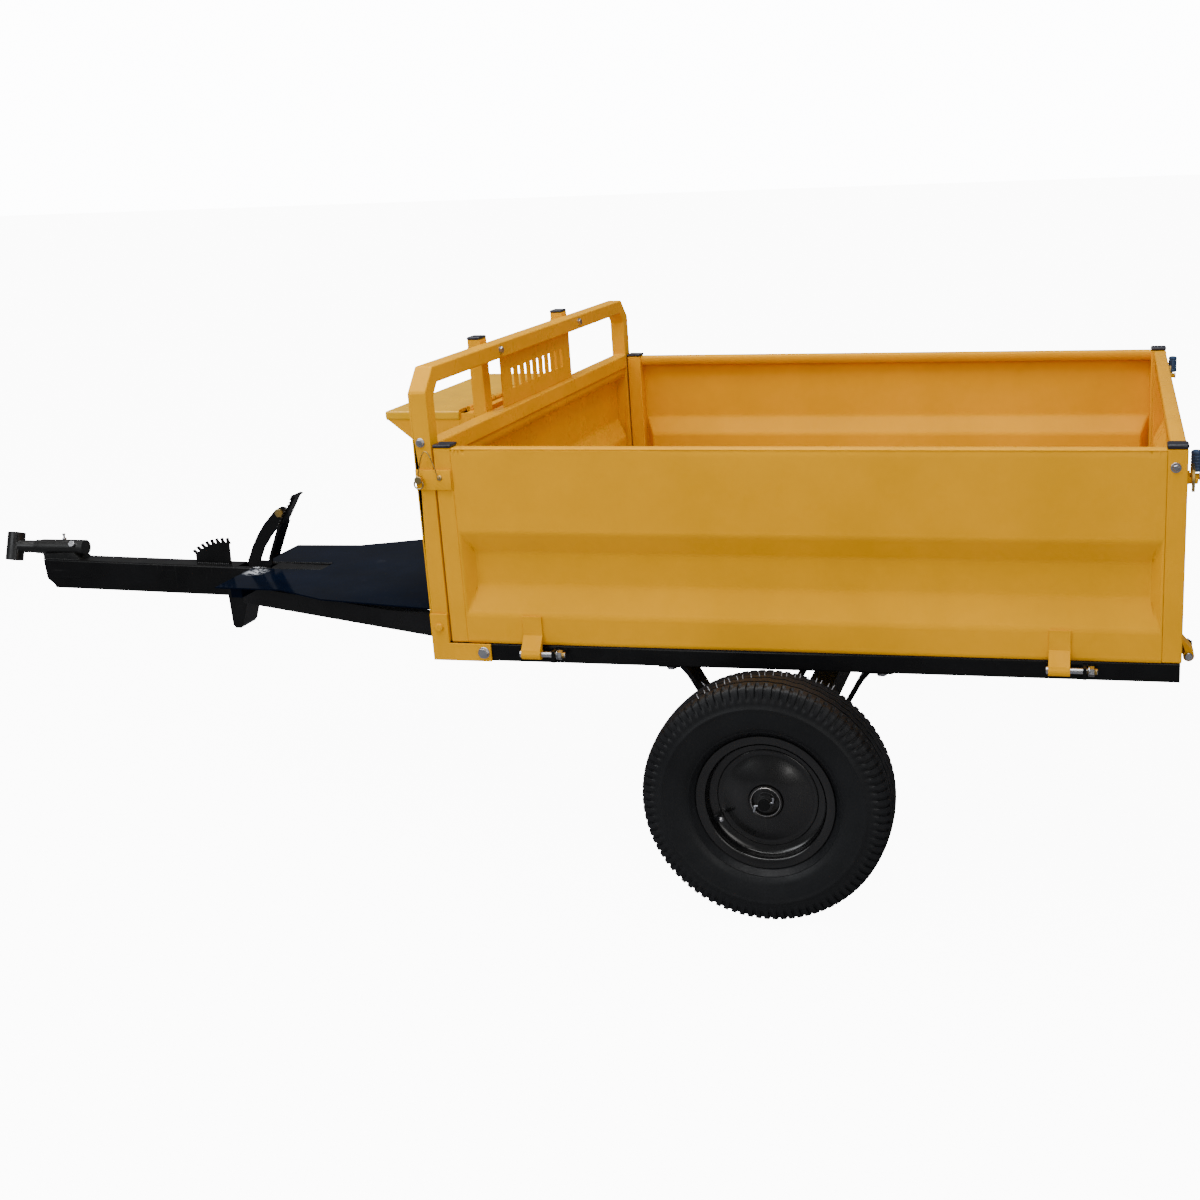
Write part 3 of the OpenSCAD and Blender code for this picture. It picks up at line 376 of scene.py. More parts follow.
# The footplate's black is tinted blue as a painted reflection and barely mirrors; its pale patch
# near the front is a painted highlight.
PLATE_PAINTED_REFLECTION = finish("footplate_painted_reflection", (0.001, 0.0028, 0.0085), 0.1, mottle=0.3,
               peel=(400, 0.04), wave=(6, 1.6), dull=0.04, dust=0.003, scuff=0.05,
               scuff_tone=(0.12, 0.12, 0.14), painted_highlight=(P(1236, 56, 411), 0.03, (0.5, 0.52, 0.55)),
               spec=0.035)
CAST = finish("cast_black", (0.006, 0.0062, 0.0065), 0.38, mottle=0.3, peel=(420, 0.3),
              wave=(40, 0.25), dull=0.12, dust=0.02, scuff=0.15, scuff_tone=(0.15, 0.15, 0.15),
              spec=0.4)
print("paints", len(bpy.data.materials))

# %% [markdown]
# ## Rubber, plastic and bare metal
# Rubber is dull and dusty, moulded plastic a little livelier. Plated steel is a metal with
# a patchy second tone, because zinc ages in blotches. Paint over a weld has a coarse skin.

# %% Rubber, plastic and metals
# The hairs are the tyre's black rubber; their light grey is a painted highlight for the light they
# catch.
HAIR_PAINTED_HIGHLIGHT = finish("rubber_hair_painted_highlight", (0.42, 0.42, 0.44), 0.5, spec=0.4)
RUBBER = finish("tyre_rubber", (0.0085, 0.0089, 0.0102), 0.44, mottle=0.18, peel=(900, 0.16),
                wave=(60, 0.10), dull=0.1, dust=0.03, dust_tone=(0.08, 0.085, 0.1), spec=0.22)
RIM = finish("rim_enamel", (0.004, 0.004, 0.0045), 0.26, coat=0.25, mottle=0.25,
             peel=(500, 0.06), wave=(22, 0.7), dull=0.06, dust=0.012, scuff=0.05,
             scuff_tone=(0.12, 0.1, 0.09), spec=0.6)
CAP = finish("cap_plastic", (0.016, 0.018, 0.027), 0.33, mottle=0.15, peel=(1100, 0.05),
             dull=0.1, dust=0.015, spec=0.35)
ZINC = finish("bright_zinc", (0.68, 0.68, 0.7), 0.28, metal=1, mottle=0.14, peel=(800, 0.05),
              wave=(70, 0.1), dull=0.12, tint=((0.42, 0.44, 0.5), 0.5))
GOLD = finish("yellow_zinc", (0.72, 0.46, 0.12), 0.3, metal=1, mottle=0.14, peel=(800, 0.05),
              dull=0.12, tint=((0.5, 0.46, 0.26), 0.7))
STEEL = finish("oiled_steel", (0.2, 0.195, 0.19), 0.4, metal=1, mottle=0.25, peel=(500, 0.2),
               dull=0.15, tint=((0.10, 0.06, 0.04), 0.5))
DARK = finish("greased_steel", (0.06, 0.06, 0.062), 0.34, metal=0.8, mottle=0.3,
              peel=(500, 0.12), dull=0.12, tint=((0.03, 0.026, 0.02), 0.6))
TURNED = finish("turned_steel", (0.62, 0.61, 0.6), 0.24, metal=1, mottle=0.2, peel=(900, 0.08),
                dull=0.12, tint=((0.25, 0.2, 0.16), 0.35))
LINING = finish("brake_lining", (0.09, 0.075, 0.06), 0.8, mottle=0.3, peel=(300, 0.3))
GRIP = finish("blue_rubber", (0.016, 0.045, 0.11), 0.42, mottle=0.15, peel=(900, 0.12), dust=0.04)
WELD = finish("weld_enamel", (0.005, 0.005, 0.0055), 0.28, coat=0.04, peel=(500, 0.2),
              dust=0.003, spec=0.18)
WELD_Y = finish("weld_yellow", (0.58, 0.285, 0.0), 0.36, coat=0.1, peel=(500, 0.2), dust=0.03)
PAD = finish("worn_pad", (0.055, 0.056, 0.058), 0.55, mottle=0.3, peel=(500, 0.25), wave=(50, 0.2),
             dull=0.15, dust=0.1, scuff=0.6, scuff_tone=(0.22, 0.22, 0.22))
print("finishes", len(bpy.data.materials))

# %% [markdown]
# ## Rounding the steelwork
# Rolled tube has soft corners and sheared plate has a slight burr, so a knife edge never
# occurs. Each engineering part is copied, its flat faces are cleaned up, and its outside
# edges are rounded by the radius the real stock would have.

# %% Rounding helpers


def soften(node, width, mat, pick=None, steps=3, sharp=28, merge=True):
    """A rounded copy of an engineering part; pick chooses which edges are rounded."""
    src = frame["nodes"][node]
    me = src.data.copy()
    me.name = "looks_" + node
    bm = bmesh.new()
    bm.from_mesh(me)
    bmesh.ops.remove_doubles(bm, verts=bm.verts, dist=1e-6)
    if merge:
        bmesh.ops.dissolve_limit(bm, angle_limit=math.radians(0.5), verts=bm.verts,
                                 edges=bm.edges)
        bmesh.ops.connect_verts_concave(bm, faces=bm.faces[:])
    mark = bm.edges.layers.float.new("bevel_weight_edge")
    for e in bm.edges:
        if len(e.link_faces) == 2 and e.calc_face_angle() > math.radians(sharp):
            if pick is None or pick((e.verts[0].co + e.verts[1].co) / 2, e):
                e[mark] = 1
    bm.to_mesh(me)
    bm.free()
    me.polygons.foreach_set("use_smooth", [True] * len(me.polygons))
    me.set_sharp_from_angle(angle=math.radians(sharp))
    me.materials.clear()
    me.materials.append(mat)
    o = bpy.data.objects.new("looks_" + node, me)
    bpy.context.scene.collection.objects.link(o)
    bev = o.modifiers.new("round", "BEVEL")
    bev.limit_method = "WEIGHT"
    bev.width = width / 1000
    bev.segments = steps
    bev.use_clamp_overlap = pick is None
    bev.harden_normals = True
    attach(o, src["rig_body"])
    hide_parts(node)
    return o


def outside(**limits):
    """Pick edges whose two ends both lie on an outer face: y=25 means both at |y| 25 or more."""
    def test(mid, e):
        for v in e.verts:
            q = {"x": v.co.x * 1000 + MID_X, "y": abs(v.co.y) * 1000, "z": v.co.z * 1000}
            if not any(q[k] >= lim - 0.2 for k, lim in limits.items()):
                return False
        return True
    return test


print("rounding helpers ready")

# %% [markdown]
# ## Drawbar, brake and running gear
# The beam is rolled tube and gets a generous radius. Laser-cut levers and the toothed
# sector have only their burr taken off.

# %% Drawbar, brake and running gear
soften("drawbar_beam", 4, BEAM, outside(y=25))
for side in ("left", "right"):
    soften("drawbar_arm_" + side, 1.2, BLACK)
soften("footplate", 0.7, PLATE_PAINTED_REFLECTION)
for node, width in (("hitch_housing", 1.5), ("hitch_eye", 1.6)):
    soften(node, width, CAST)
for node, width in (("rest_foot", 1.5), ("axle_beam", 2.2), ("axle_hangers", 1.0),
                    ("backing_plates", 1.2)):
    soften(node, width, BLACK)
for node, width in (("brake_quadrant", 0.8), ("brake_pedal", 1.0), ("pedal_pawl", 0.8),
                    ("hinge_lugs", 0.9)):
    soften(node, width, BLACK, steps=2)
for node, width in (("brake_rod", 0.6), ("brake_camshaft", 0.8)):
    soften(node, width, STEEL, steps=2)
for node, width in (("frame_bolts", 0.8), ("hitch_fittings", 0.6), ("pedal_pin", 1.0)):
    soften(node, width, ZINC, steps=2)
soften("pedal_bolt", 0.8, GOLD, steps=2)
print("running gear rounded")

# %% [markdown]
# ## Castle nuts
# The nut is greasy and dark, and the split pin through its slots is bright. Both lie in one
# engineering part, so the copy is sorted into its separate solids by following its edges.

# %% Castle nuts
PIN_SPAN = 0.0325  # along X a nut is shorter than this and a split pin longer
PIN_POINTS = 60  # a solid with fewer corners than this belongs to a pin as well


def solids_of(mesh):
    """For each vertex, the number of the separate solid that holds it."""
    owner = list(range(len(mesh.vertices)))

    def root_of(k):
        while owner[k] != k:
            owner[k] = owner[owner[k]]
            k = owner[k]
        return k

    for e in mesh.edges:
        owner[root_of(e.vertices[0])] = root_of(e.vertices[1])
    return [root_of(k) for k in range(len(owner))]


nuts = soften("castle_nuts", 0.6, DARK, steps=2)
nuts.data.materials.append(ZINC)
solid = solids_of(nuts.data)
reach = {}
for k, v in enumerate(nuts.data.vertices):
    reach.setdefault(solid[k], []).append(v.co.x)
for poly in nuts.data.polygons:
    xs = reach[solid[poly.vertices[0]]]
    is_pin = max(xs) - min(xs) > PIN_SPAN or len(xs) < PIN_POINTS
    poly.material_index = 1 if is_pin else 0
print("solids among the nuts", len(reach))

# %% [markdown]
# ## Body, sides and seat
# Only edges that face outwards are rounded on the rails, frame and lid, because their inner
# corners are hidden, and rounding them would only cost triangles. The floor sheet and cross
# members are plain, and hubs and brake shoes are hidden, so these only get a finish.

# %% Body, sides and seat


def rail_edge(mid, e):
    """The long outside corners of a rail."""
    return abs(mid.z * 1000 - 424) > 15.5 and abs(abs(mid.y) * 1000 - 542) > 19.5


def frame_edge(mid, e):
    """Corners on the front or the back face of the headboard frame."""
    return all(min(abs(v.co.x * 1000 + MID_X - face) for face in (568, 600)) < 0.2
               for v in e.verts)


def every_edge(mid, e):
    """Every corner; with any pick, soften lets the rounding keep its full width."""
    return True


def lid_edge(mid, e):
    """The corners round the top of the lid."""
    x = mid.x * 1000 + MID_X
    return mid.z > 0.7705 and (abs(mid.y) > 0.2397 or x > 805.7 or x < 654.5)


soften("side_rails", 3.5, BLACK, rail_edge)
soften("headboard_frame", 3, YELLOW, frame_edge, merge=False)
soften("seat_stakes", 2.2, YELLOW, outside(y=0), sharp=40)
soften("corner_brackets", 1.2, YELLOW)
for side in ("left", "right"):
    soften("side_stiles_" + side, 2.4, YELLOW, every_edge)
for node, width in (("backrest_plate", 0.8), ("seat_box", 0.8), ("side_straps_left", 0.9),
                    ("side_straps_right", 0.9), ("tailgate_stiles", 2.2),
                    ("tailgate_straps", 0.9)):
    soften(node, width, YELLOW, steps=2)
soften("seat_lid", 4, LID, lid_edge, steps=4)
# The floor sheet takes the inside yellow, darkened as painted shade.
for node, mat in (("cross_members", BLACK), ("floor_sheet", INSIDE_SHADED_WORN), ("hub_left", DARK),
                  ("hub_right", DARK), ("upper_shoe_left", LINING), ("lower_shoe_left", LINING),
                  ("upper_shoe_right", LINING), ("lower_shoe_right", LINING)):
    o = frame["nodes"][node]
    o.data.materials.clear()
    o.data.materials.append(mat)

# %% [markdown]
# ## Pressed steel panels
# A press folds a shallow trough along each panel, with mitred ends, and the top edge is
# rolled over twice to make a safe handle. The depth of the trough is the smallest of four
# slopes, blended over a few millimetres, which is what a press tool with soft corners leaves.

# %% Pressed panels
DEPTH, SHEET = 22.0, 2.5
TOP_BEND, UPPER_BEND, LOWER_BEND, FOOT_BEND = 636, 597, 540, 491


def soft_min(a, b, k):
    """The smaller of two depths, blended over k millimetres."""
    h = np.clip(0.5 + 0.5 * (b - a) / k, 0, 1)
    return b * (1 - h) + a * h - k * h * (1 - h)


def trough(u, w, u0, u1):
    """How far the sheet is pushed in at u along and w up the panel."""
    up = (TOP_BEND - w) / (TOP_BEND - UPPER_BEND) * DEPTH
    down = (w - FOOT_BEND) / (LOWER_BEND - FOOT_BEND) * DEPTH
    ends = np.minimum(u - u0 - 2, u1 - 2 - u) / 17 * DEPTH
    d = soft_min(soft_min(soft_min(up, down, 3.0), ends, 3.0), DEPTH, 2.6)
    return -soft_min(-d, 0.0, 2.6)


def panel(name, node, body, u0, u1, w0, w1, place):
    """One pressed panel from u0 to u1 along and w0 to w1 up, its top rolled over twice."""
    us = near([u0 + 2, u0 + 10, u0 + 19, u1 - 19, u1 - 10, u1 - 2], 1.3, 6.5, 60, u0, u1)
    ws = near([FOOT_BEND, LOWER_BEND, UPPER_BEND, TOP_BEND], 1.5, 7.5, 6, w0, w1 - 4)
    rows = []
    t = SHEET / 2
    for w in ws:
        d = trough(np.array(us), w, u0, u1)
        rows.append([place(u, t + q, w) for u, q in zip(us, d)])
    r = 3.0
    lip = [(t + r - r * math.cos(a), w1 - t - r + r * math.sin(a))
           for a in np.linspace(0, math.pi / 2, 5)]
    lip += [(14, w1 - t)]
    lip += [(23.7 - r + r * math.sin(a), w1 - t - r + r * math.cos(a))
            for a in np.linspace(0, math.pi / 2, 5)]
    lip += [(23.7, w1 - 19.5)]
    for v, w in lip:
        rows.append([place(u, v, w) for u in us])
    g = Geo().grid(rows)
    return g.obj(name, body, YELLOW, "yellow_paint", sharp=60, shell=SHEET, part_of=(node,))


for s, side in SIDES:
    panel("panel_" + side, "dropside_" + side, "side_" + side, -626, 534, SIDE_Z, SIDE_TOP,
          lambda u, v, w, s=s: P(u, s * (HALF_W - v), w))
panel("panel_tail", "tailgate_panel", "gate", -498, 498, SIDE_Z, SIDE_TOP,
      lambda u, v, w: P(-657 + v, u, w))
panel("panel_head", "headboard_panel", "chassis", -530, 530, BED_Z + 0.5, 756,
      lambda u, v, w: P(597 - v, u, w))
print("panels pressed", DEPTH, "mm deep")

# %% [markdown]
# ## Tyres
# A small barrow tyre has a flat crown with wandering grooves, a row of shoulder lugs that
# break over onto the sidewall, a raised ring where the tread ends and a second near the
# bead. The section is walked from bead to bead and spun; the grooves push it inward.

# %% Tyres
half = [(101.9, 27.4), (112, 27.9), (117.6, 28.4), (119.5, 31), (123, 35.2), (125.5, 38.6),
        (127.5, 40.8), (129, 40.6), (131.5, 42.6), (138, 46.4), (150, 49.8), (160, 51.4),
        (167, 51.9), (169.5, 52.95), (172, 52.9), (174, 51.2), (180, 50.8), (186, 50.0),
        (192, 48.6), (198, 46.6), (202.5, 44.6), (205.6, 41.5), (207.4, 36), (208.3, 29)]


def section():
    """(radius, offset) points round the tyre from one bead to the other."""
    pts = [half[0]]
    for a, b in zip(half, half[1:]):
        n = max(1, int(math.hypot(b[0] - a[0], b[1] - a[1]) / 3.2))
        pts += [(a[0] + (b[0] - a[0]) * k / n, a[1] + (b[1] - a[1]) * k / n)
                for k in range(1, n + 1)]
    crown = [27, 25.9, 25.2, 22.8, 22.1, 20, 16, 12, 9.9, 9.2, 6.8, 6.1, 4, 0]
    pts += [(208.4 + 1.5 * (1 - (y / 28) ** 2), y) for y in crown]
    return pts + [(r, -y) for r, y in reversed(pts[:-1])]


LUGS, ZIGS = 90, 45
SHOULDER_R, LUG_DEPTH, GROOVE_DEPTH = 183.5, 3.2, 4.6
prof = np.array(section())
steps = np.array([0.0, 0.07, 0.24, 0.40, 0.47, 0.73])
phi = np.concatenate([(k + steps) / LUGS for k in range(LUGS)]) * 2 * math.pi
in_notch = np.tile([0, 1, 1, 1, 0, 0], LUGS).astype(float)
zig = 2 * np.abs(((phi / (2 * math.pi) * ZIGS) % 1) - 0.5) * 2 - 1


def tyre_points(flip):
    """The section at every station round the wheel, pushed in at grooves and notches."""
    rows = []
    d = np.gradient(prof, axis=0)
    nrm = np.stack([-d[:, 1], d[:, 0]], 1)
    nrm /= np.linalg.norm(nrm, axis=1)[:, None]
    nrm *= np.where(nrm[:, :1] * (prof[:, :1] - 165) + nrm[:, 1:] * prof[:, 1:] < 0, -1, 1)
    r0, y0 = prof[:, 0], prof[:, 1]
    ay = np.abs(y0)
    groove = ((np.abs(ay - 24) < 1.3) | (np.abs(ay - 8) < 1.3)) & (r0 > 200)
    lug = (ay > 29.5) & (r0 > SHOULDER_R)
    lug_cut = np.clip((r0 - SHOULDER_R) / 8, 0.2, 1) * LUG_DEPTH
    for k, a in enumerate(phi):
        y = y0 + np.where((ay < 30) & (r0 > 200), 1.9 * zig[k] * (1 - (ay / 30) ** 4), 0)
        push = np.where(groove, GROOVE_DEPTH, 0.0) + np.where(lug, in_notch[k] * lug_cut, 0.0)
        r = r0 - push * nrm[:, 0]
        y = y - push * nrm[:, 1]
        rows.append([P(q * math.cos(a), flip * (WHEEL_Y + h), AXLE_Z + q * math.sin(a))
                     for q, h in zip(r, y)])
    return rows


for s, side in SIDES:
    g = Geo().grid(tyre_points(s), wrap_a=True)
    g.obj("tread_" + side, "wheel_" + side, RUBBER, "tyre_rubber", sharp=42,
          part_of=("tyre_" + side,))
print("tyre points per ring", len(prof), "rings", len(phi))

# %% [markdown]
# ## Moulding hairs
# A new tyre still wears the thin rubber hairs that the vents of its mould leave on the
# tread. They taper and lean a little, so no two are alike. Their places step by the golden
# ratio, which spreads them over the top of the tread without a pattern. They are coloured
# light grey, a painted highlight for the light that thin hairs catch.

# %% Moulding hairs
HAIRS, HAIR_STEP = 22, 0.0015
for s, side in SIDES:
    hairs = Geo()
    for k in range(HAIRS):
        a = math.radians(58 + 64 * ((k * 0.618) % 1))
        wide_y = -36 + 72 * ((k * 0.381) % 1)
        c, q = math.cos(a), math.sin(a)
        rr = 209.2 if abs(wide_y) < 26 else 207
        p0 = P(rr * c, s * (WHEEL_Y + wide_y), AXLE_Z + rr * q)
        out = np.array([c, 0.16 * math.sin(k * 2.3), q]) * HAIR_STEP
        sag = np.array([0.25 * math.cos(k * 1.7), 0, 0]) * 0.001
        hairs.sweep([p0 + out * j + sag * j * j * 0.2 for j in range(-1, 6)],
                    [0.8, 0.8, 0.75, 0.7, 0.6, 0.5, 0.3], 5)
    hairs.obj("moulding_hairs_" + side, "wheel_" + side, HAIR_PAINTED_HIGHLIGHT, "tyre_rubber")
print("hair length (mm)", HAIR_STEP * 5000)

# %% [markdown]
# ## Wheels
# The rim is rolled from strip with a drop centre and turned-over flanges, and a domed disc
# is welded into it. The valve stands in the well, a rubber stalk with a screwed metal end.

# %% Rims, valves and hub faces
rim_out = [(101.2, 26), (102, 29), (104.5, 30.4), (112, 30.9), (115, 31.8), (116.6, 31.9),
           (117.5, 30.9), (117.4, 29.5), (116.4, 29.1), (116.0, 30.2), (112, 29.4), (101.8, 28.4)]
disc = [(100.6, 28.6), (99.9, 27), (99.5, 20), (99.2, 15.5), (97.5, 13.2), (92, 11.2), (88, 10.4),
        (85.8, 9.6), (84.6, 10.9), (83, 11.3), (81, 10.5), (79, 9.8), (74, 11), (66, 14.4),
        (56, 18.2), (46, 21.3), (40, 22.9), (34, 24), (30.5, 24.6), (29.4, 24), (29.2, 21)]
back = [(29.2, 19.6), (45, 18.2), (60, 13.2), (78, 7.2), (86, 7), (88, -8), (99.6, -13),
        (99.8, -28), (104, -29.6), (113, -30.2), (116, -31.6), (117.3, -30.6), (116.2, -29.3),
        (112, -28.4), (101.8, -27.6), (101.6, -14), (90, -9.6)]
for s, side in SIDES:
    hub = P(0, s * WHEEL_Y, AXLE_Z)
    g = Geo()
    g.spin(rim_out, hub, (0, s, 0), 120, closed=True)
    g.spin(disc, hub, (0, s, 0), 120)
    g.spin(back, hub, (0, s, 0), 96)
    body = "wheel_" + side
    g.obj("wheel_disc_" + side, body, RIM, "black_paint", sharp=50, part_of=("rim_" + side,))
    a = math.radians(-24)
    c = np.array([math.cos(a), 0, math.sin(a)])
    root = hub + 0.0955 * c + np.array([0, s * 0.014, 0])
    lean = -c * 0.62 + np.array([0, s * 0.78, 0])
    stem = Geo().sweep([root + lean * k / 1000 for k in (-3, 0, 2, 3, 14, 15)],
                       [7.2, 7, 6.2, 4.6, 3.9, 3.4], 20)
    stem.obj("valve_rubber_" + side, body, RUBBER, "tyre_rubber", sharp=50)
    cap = Geo().sweep([root + lean * k / 1000 for k in (15, 15.4, 21, 21.2, 22.4, 23)],
                      [3.0, 3.6, 3.6, 4.0, 4.0, 3.2], 20)
    cap.obj("valve_cap_" + side, body, ZINC, "zinc_steel", sharp=50)
    ring = Geo().spin([(23.6, 26.6), (23.7, 27.9), (24.2, 28.4), (25.2, 28.4), (25.8, 27.8),
                       (25.9, 26.8)], hub, (0, s, 0), 72, closed=True)
    ring.obj("hub_face_" + side, body, TURNED, "bare_steel", sharp=40)
    dust = Geo().spin([(10.4, 21.6), (10.6, 22.6), (13, 22.9), (20, 22.9), (22.8, 22.5),
                       (23.2, 21.4)], hub, (0, s, 0), 60)
    dust.obj("bearing_shield_" + side, body, DARK, "bare_steel", sharp=40)
    washer = Geo().spin([(10.3, 22.6), (10.3, 23.9), (15.5, 23.9), (16, 23.5), (16, 22.6)],
                        hub, (0, s, 0), 60, closed=True)
    washer.obj("axle_washer_" + side, "chassis", DARK, "zinc_steel", sharp=40)
print("wheel dish", round(31.9 - 9.6, 1), "mm deep")

# %% [markdown]
# ## Caps, hasps and rivets
# Open tube ends are closed by moulded plastic caps with a crowned top. The hasp plate that
# holds the side shut is a small sheared plate fixed by a domed rivet.

# %% Caps and hasps
STAKE_Y, RIVET_X, RIVET_Z = 223, 556, 731
caps = Geo()
for y in (-STAKE_Y, STAKE_Y):
    caps.pad((600, y - 17, 919.6), (627, y + 17, 926), 5)
    caps.pad((602.5, y - 13.4, 900), (623.5, y + 13.4, 921), 1)
caps.obj("stake_end_caps", "chassis", CAP, "cap_plastic", sharp=50, part_of=("stake_caps",))
for s, side in SIDES:
    g = Geo()
    for x, top in ((-657, 789), (534, 787)):
        a, b = sorted((s * 531, s * 563))
        g.pad((x - 1, a, SIDE_TOP + 0.2), (x + 32, b, top), 4)
        a, b = sorted((s * 535, s * 559))
        g.pad((x + 3, a, SIDE_TOP - 14), (x + 28, b, SIDE_TOP + 1), 1)
    body = "side_" + side
    g.obj("stile_caps_" + side, body, CAP, "cap_plastic", sharp=50,
          part_of=("side_fittings_" + side,))
    a, b = sorted((s * 562.3, s * 566.2))
    Geo().pad((536, a, 710), (599, b, 745), 1.0).obj(
        "hasp_plate_" + side, body, YELLOW, "yellow_paint", sharp=40)
    riv = Geo().spin([(0.01, 2.6), (2, 2.5), (3.8, 1.8), (4.9, 0.7), (5, 0)],
                     P(RIVET_X, s * 566.1, RIVET_Z), (0, s, 0), 32)
    riv.spin([(3.6, -0.2), (4.6, 0.4), (5.4, 0.4), (6.4, -0.1)],
             P(PIN_X, s * 566.1, PIN_Z), (0, s, 0), 40)
    riv.obj("hasp_rivet_" + side, body, GOLD, "yellow_zinc", sharp=40)
    bolt = Geo().spin([(0.01, 4.6), (4.2, 4.6), (4.9, 4.0), (5.4, 0.4), (5.4, 0)],
                      P(-639, s * 562.2, 753), (0, s, 0), 6)
    bolt.spin([(5.2, 0.9), (7.6, 0.9), (8, 0.6), (8, 0)], P(-639, s * 562, 753), (0, s, 0), 36)
    bolt.obj("lanyard_bolt_" + side, body, ZINC, "zinc_steel", sharp=25)
print("cap height over the stakes (mm)", 926 - 919.6)

# %% [markdown]
# ## Locking pins on their wires
# A turned pin drops through the hasp plate into the post. It carries a pull ring, and a
# thin stranded wire ties it to the rivet so that it can't be lost. The wire flexes when
# the pin is drawn; here it is built in place and belongs to no body.

# %% Locking pins and wires
STRANDS = 3
for s, side in SIDES:
    pin = Geo().spin([(0.01, -18), (2.6, -17.6), (4, -15), (4, 4), (4.3, 5), (6.8, 5.4), (7, 6.2),
                      (7, 10.4), (6.2, 11.6), (3, 12), (0.01, 12)],
                     P(PIN_X, s * 562, PIN_Z), (0, s, 0), 36)
    ring = [P(PIN_X + 8 * math.cos(a), s * 571, PIN_Z - 7 + 8 * math.sin(a))
            for a in np.linspace(0, 2 * math.pi, 49)]
    pin.sweep(ring, 1.5, 12, ends=False)
    pin.obj("lock_pin_body_" + side, "side_pin_" + side, GOLD, "yellow_zinc", sharp=40,
            part_of=("lock_pin_" + side,))
    line = []
    for t in np.linspace(0, 1, 40):
        q = math.sin(math.pi * t)
        line.append((RIVET_X + 36 * t, 570.5 + 2 * q, RIVET_Z + 44 * q + 5 * t))
    wire = Geo()
    for k in range(STRANDS):
        path = []
        for i, (x, y, z) in enumerate(line):
            w = i * 0.9 + k * 2.094
            path.append(P(x + 0.5 * math.cos(w), s * (y + 0.5 * math.sin(w)), z))
        wire.sweep(path, 0.62, 6)
    o = wire.obj("pin_wire_" + side, None, GOLD, "yellow_zinc", sharp=60)
    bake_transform(o)
    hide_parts("lanyard_" + side)
print("wire strands", STRANDS)

# %% [markdown]
# ## Tailgate latches
# A plated flat hook swings over a stud on the side. Its handle wears a ribbed blue rubber
# sleeve, worn shiny on the ribs.

# %% Tailgate latches
SLEEVE_RIBS = 5
for s, side in SIDES:
    hook = Geo()
    arc_out = [(45 * math.cos(a), 45 * math.sin(a)) for a in np.linspace(-0.35, 0.42, 14)]
    flat = arc_out + [(27, 19.6), (8.5, 21.8), (-8.5, 21.8), (-10.6, 4), (-9, -6), (-3, -10.6),
                      (5, -9.8), (10.6, 3), (14, 8.3), (25.5, 8.6), (38.0, 5.4), (38.6, 2)]
    flat += [(38.3, -12.8)]
    rows = []
    for x, inset in ((-663.05, 0.5), (-663.5, 0), (-667.5, 0), (-667.95, 0.5)):
        rows.append([P(x, s * (LATCH_Y + y * (1 - inset * 0.03)), LATCH_Z + z * (1 - inset * 0.03))
                     for y, z in flat])
    hook.grid(rows, wrap_b=True)
    n = len(flat)
    hook.f += [tuple(range(n)), tuple(3 * n + k for k in range(n))]
    hook.spin([(9.2, 2.2), (9.2, 0), (5.3, 0), (5.3, 2.2)], P(-668.6, s * LATCH_Y, LATCH_Z),
              (1, 0, 0), 32, closed=True)
    hook.obj("latch_hook_" + side, "gate_latch_" + side, GOLD, "yellow_zinc", sharp=30,
             part_of=("latch_" + side,))
    sleeve = [(0.01, 7.4), (5.5, 7.4), (8.0, 8.2), (9.0, 9.8)]
    for k in range(SLEEVE_RIBS):
        h = 12 + k * 4.6
        sleeve += [(8.9, h), (8.9, h + 2.2), (8.3, h + 2.8), (8.3, h + 4.0)]
    sleeve += [(8.9, 35.5), (8.9, 37.5), (8.0, 40), (5, 41.2), (0.01, 41.4)]
    grip = Geo().spin(sleeve, P(-671, s * LATCH_Y, LATCH_Z), (0, 0, 1), 40)
    grip.obj("latch_grip_" + side, "gate_latch_" + side, GRIP, "cap_plastic", sharp=45)
    nut = Geo().spin([(0.01, 1.2), (4.4, 1), (5.2, 0.2), (7, 0.2), (7, -1.2), (5, -1.2)],
                     P(-677.2, s * LATCH_Y, LATCH_Z), (-1, 0, 0), 36)
    nut.obj("latch_clip_" + side, "gate", ZINC, "zinc_steel", sharp=35)
print("sleeve ribs", SLEEVE_RIBS)

# %% [markdown]
# ## Welds
# The frame is arc welded. A bead is a row of overlapping scales, so each one is swept with
# a radius that ripples every few millimetres. Flat black strips under the footplate close
# the gap where the plate is cut round the beam: a dark sheet standing in for shade there.

# %% Weld beads
TAIL_X, PLATE_END_X = 1100, 1262  # the beam's tail, and the front edge of the footplate


def bead(g, a, b, r=2.4):
    """One run of weld from a to b, in the ruler's millimetres."""
    a, b = np.array(a, float), np.array(b, float)
    n = max(6, int(np.linalg.norm(b - a) / 0.9))
    ts = np.linspace(0, 1, n)
    length = np.linalg.norm(b - a)
    rad = [r * (0.86 + 0.2 * abs(math.sin(t * length / 3.0 * math.pi / 1.6))) for t in ts]
    rad[0] = rad[-1] = r * 0.4
    wob = [0.25 * math.sin(t * length * 0.37) for t in ts]
    g.sweep([P(*(a + (b - a) * t)) + np.array([0, 0, w / 1000]) for t, w in zip(ts, wob)], rad, 8)


def beam_top(x):
    """Height of the beam's top face, which climbs 20 mm in every metre towards its nose."""
    return 412.5 + 0.02 * (x - 1320)


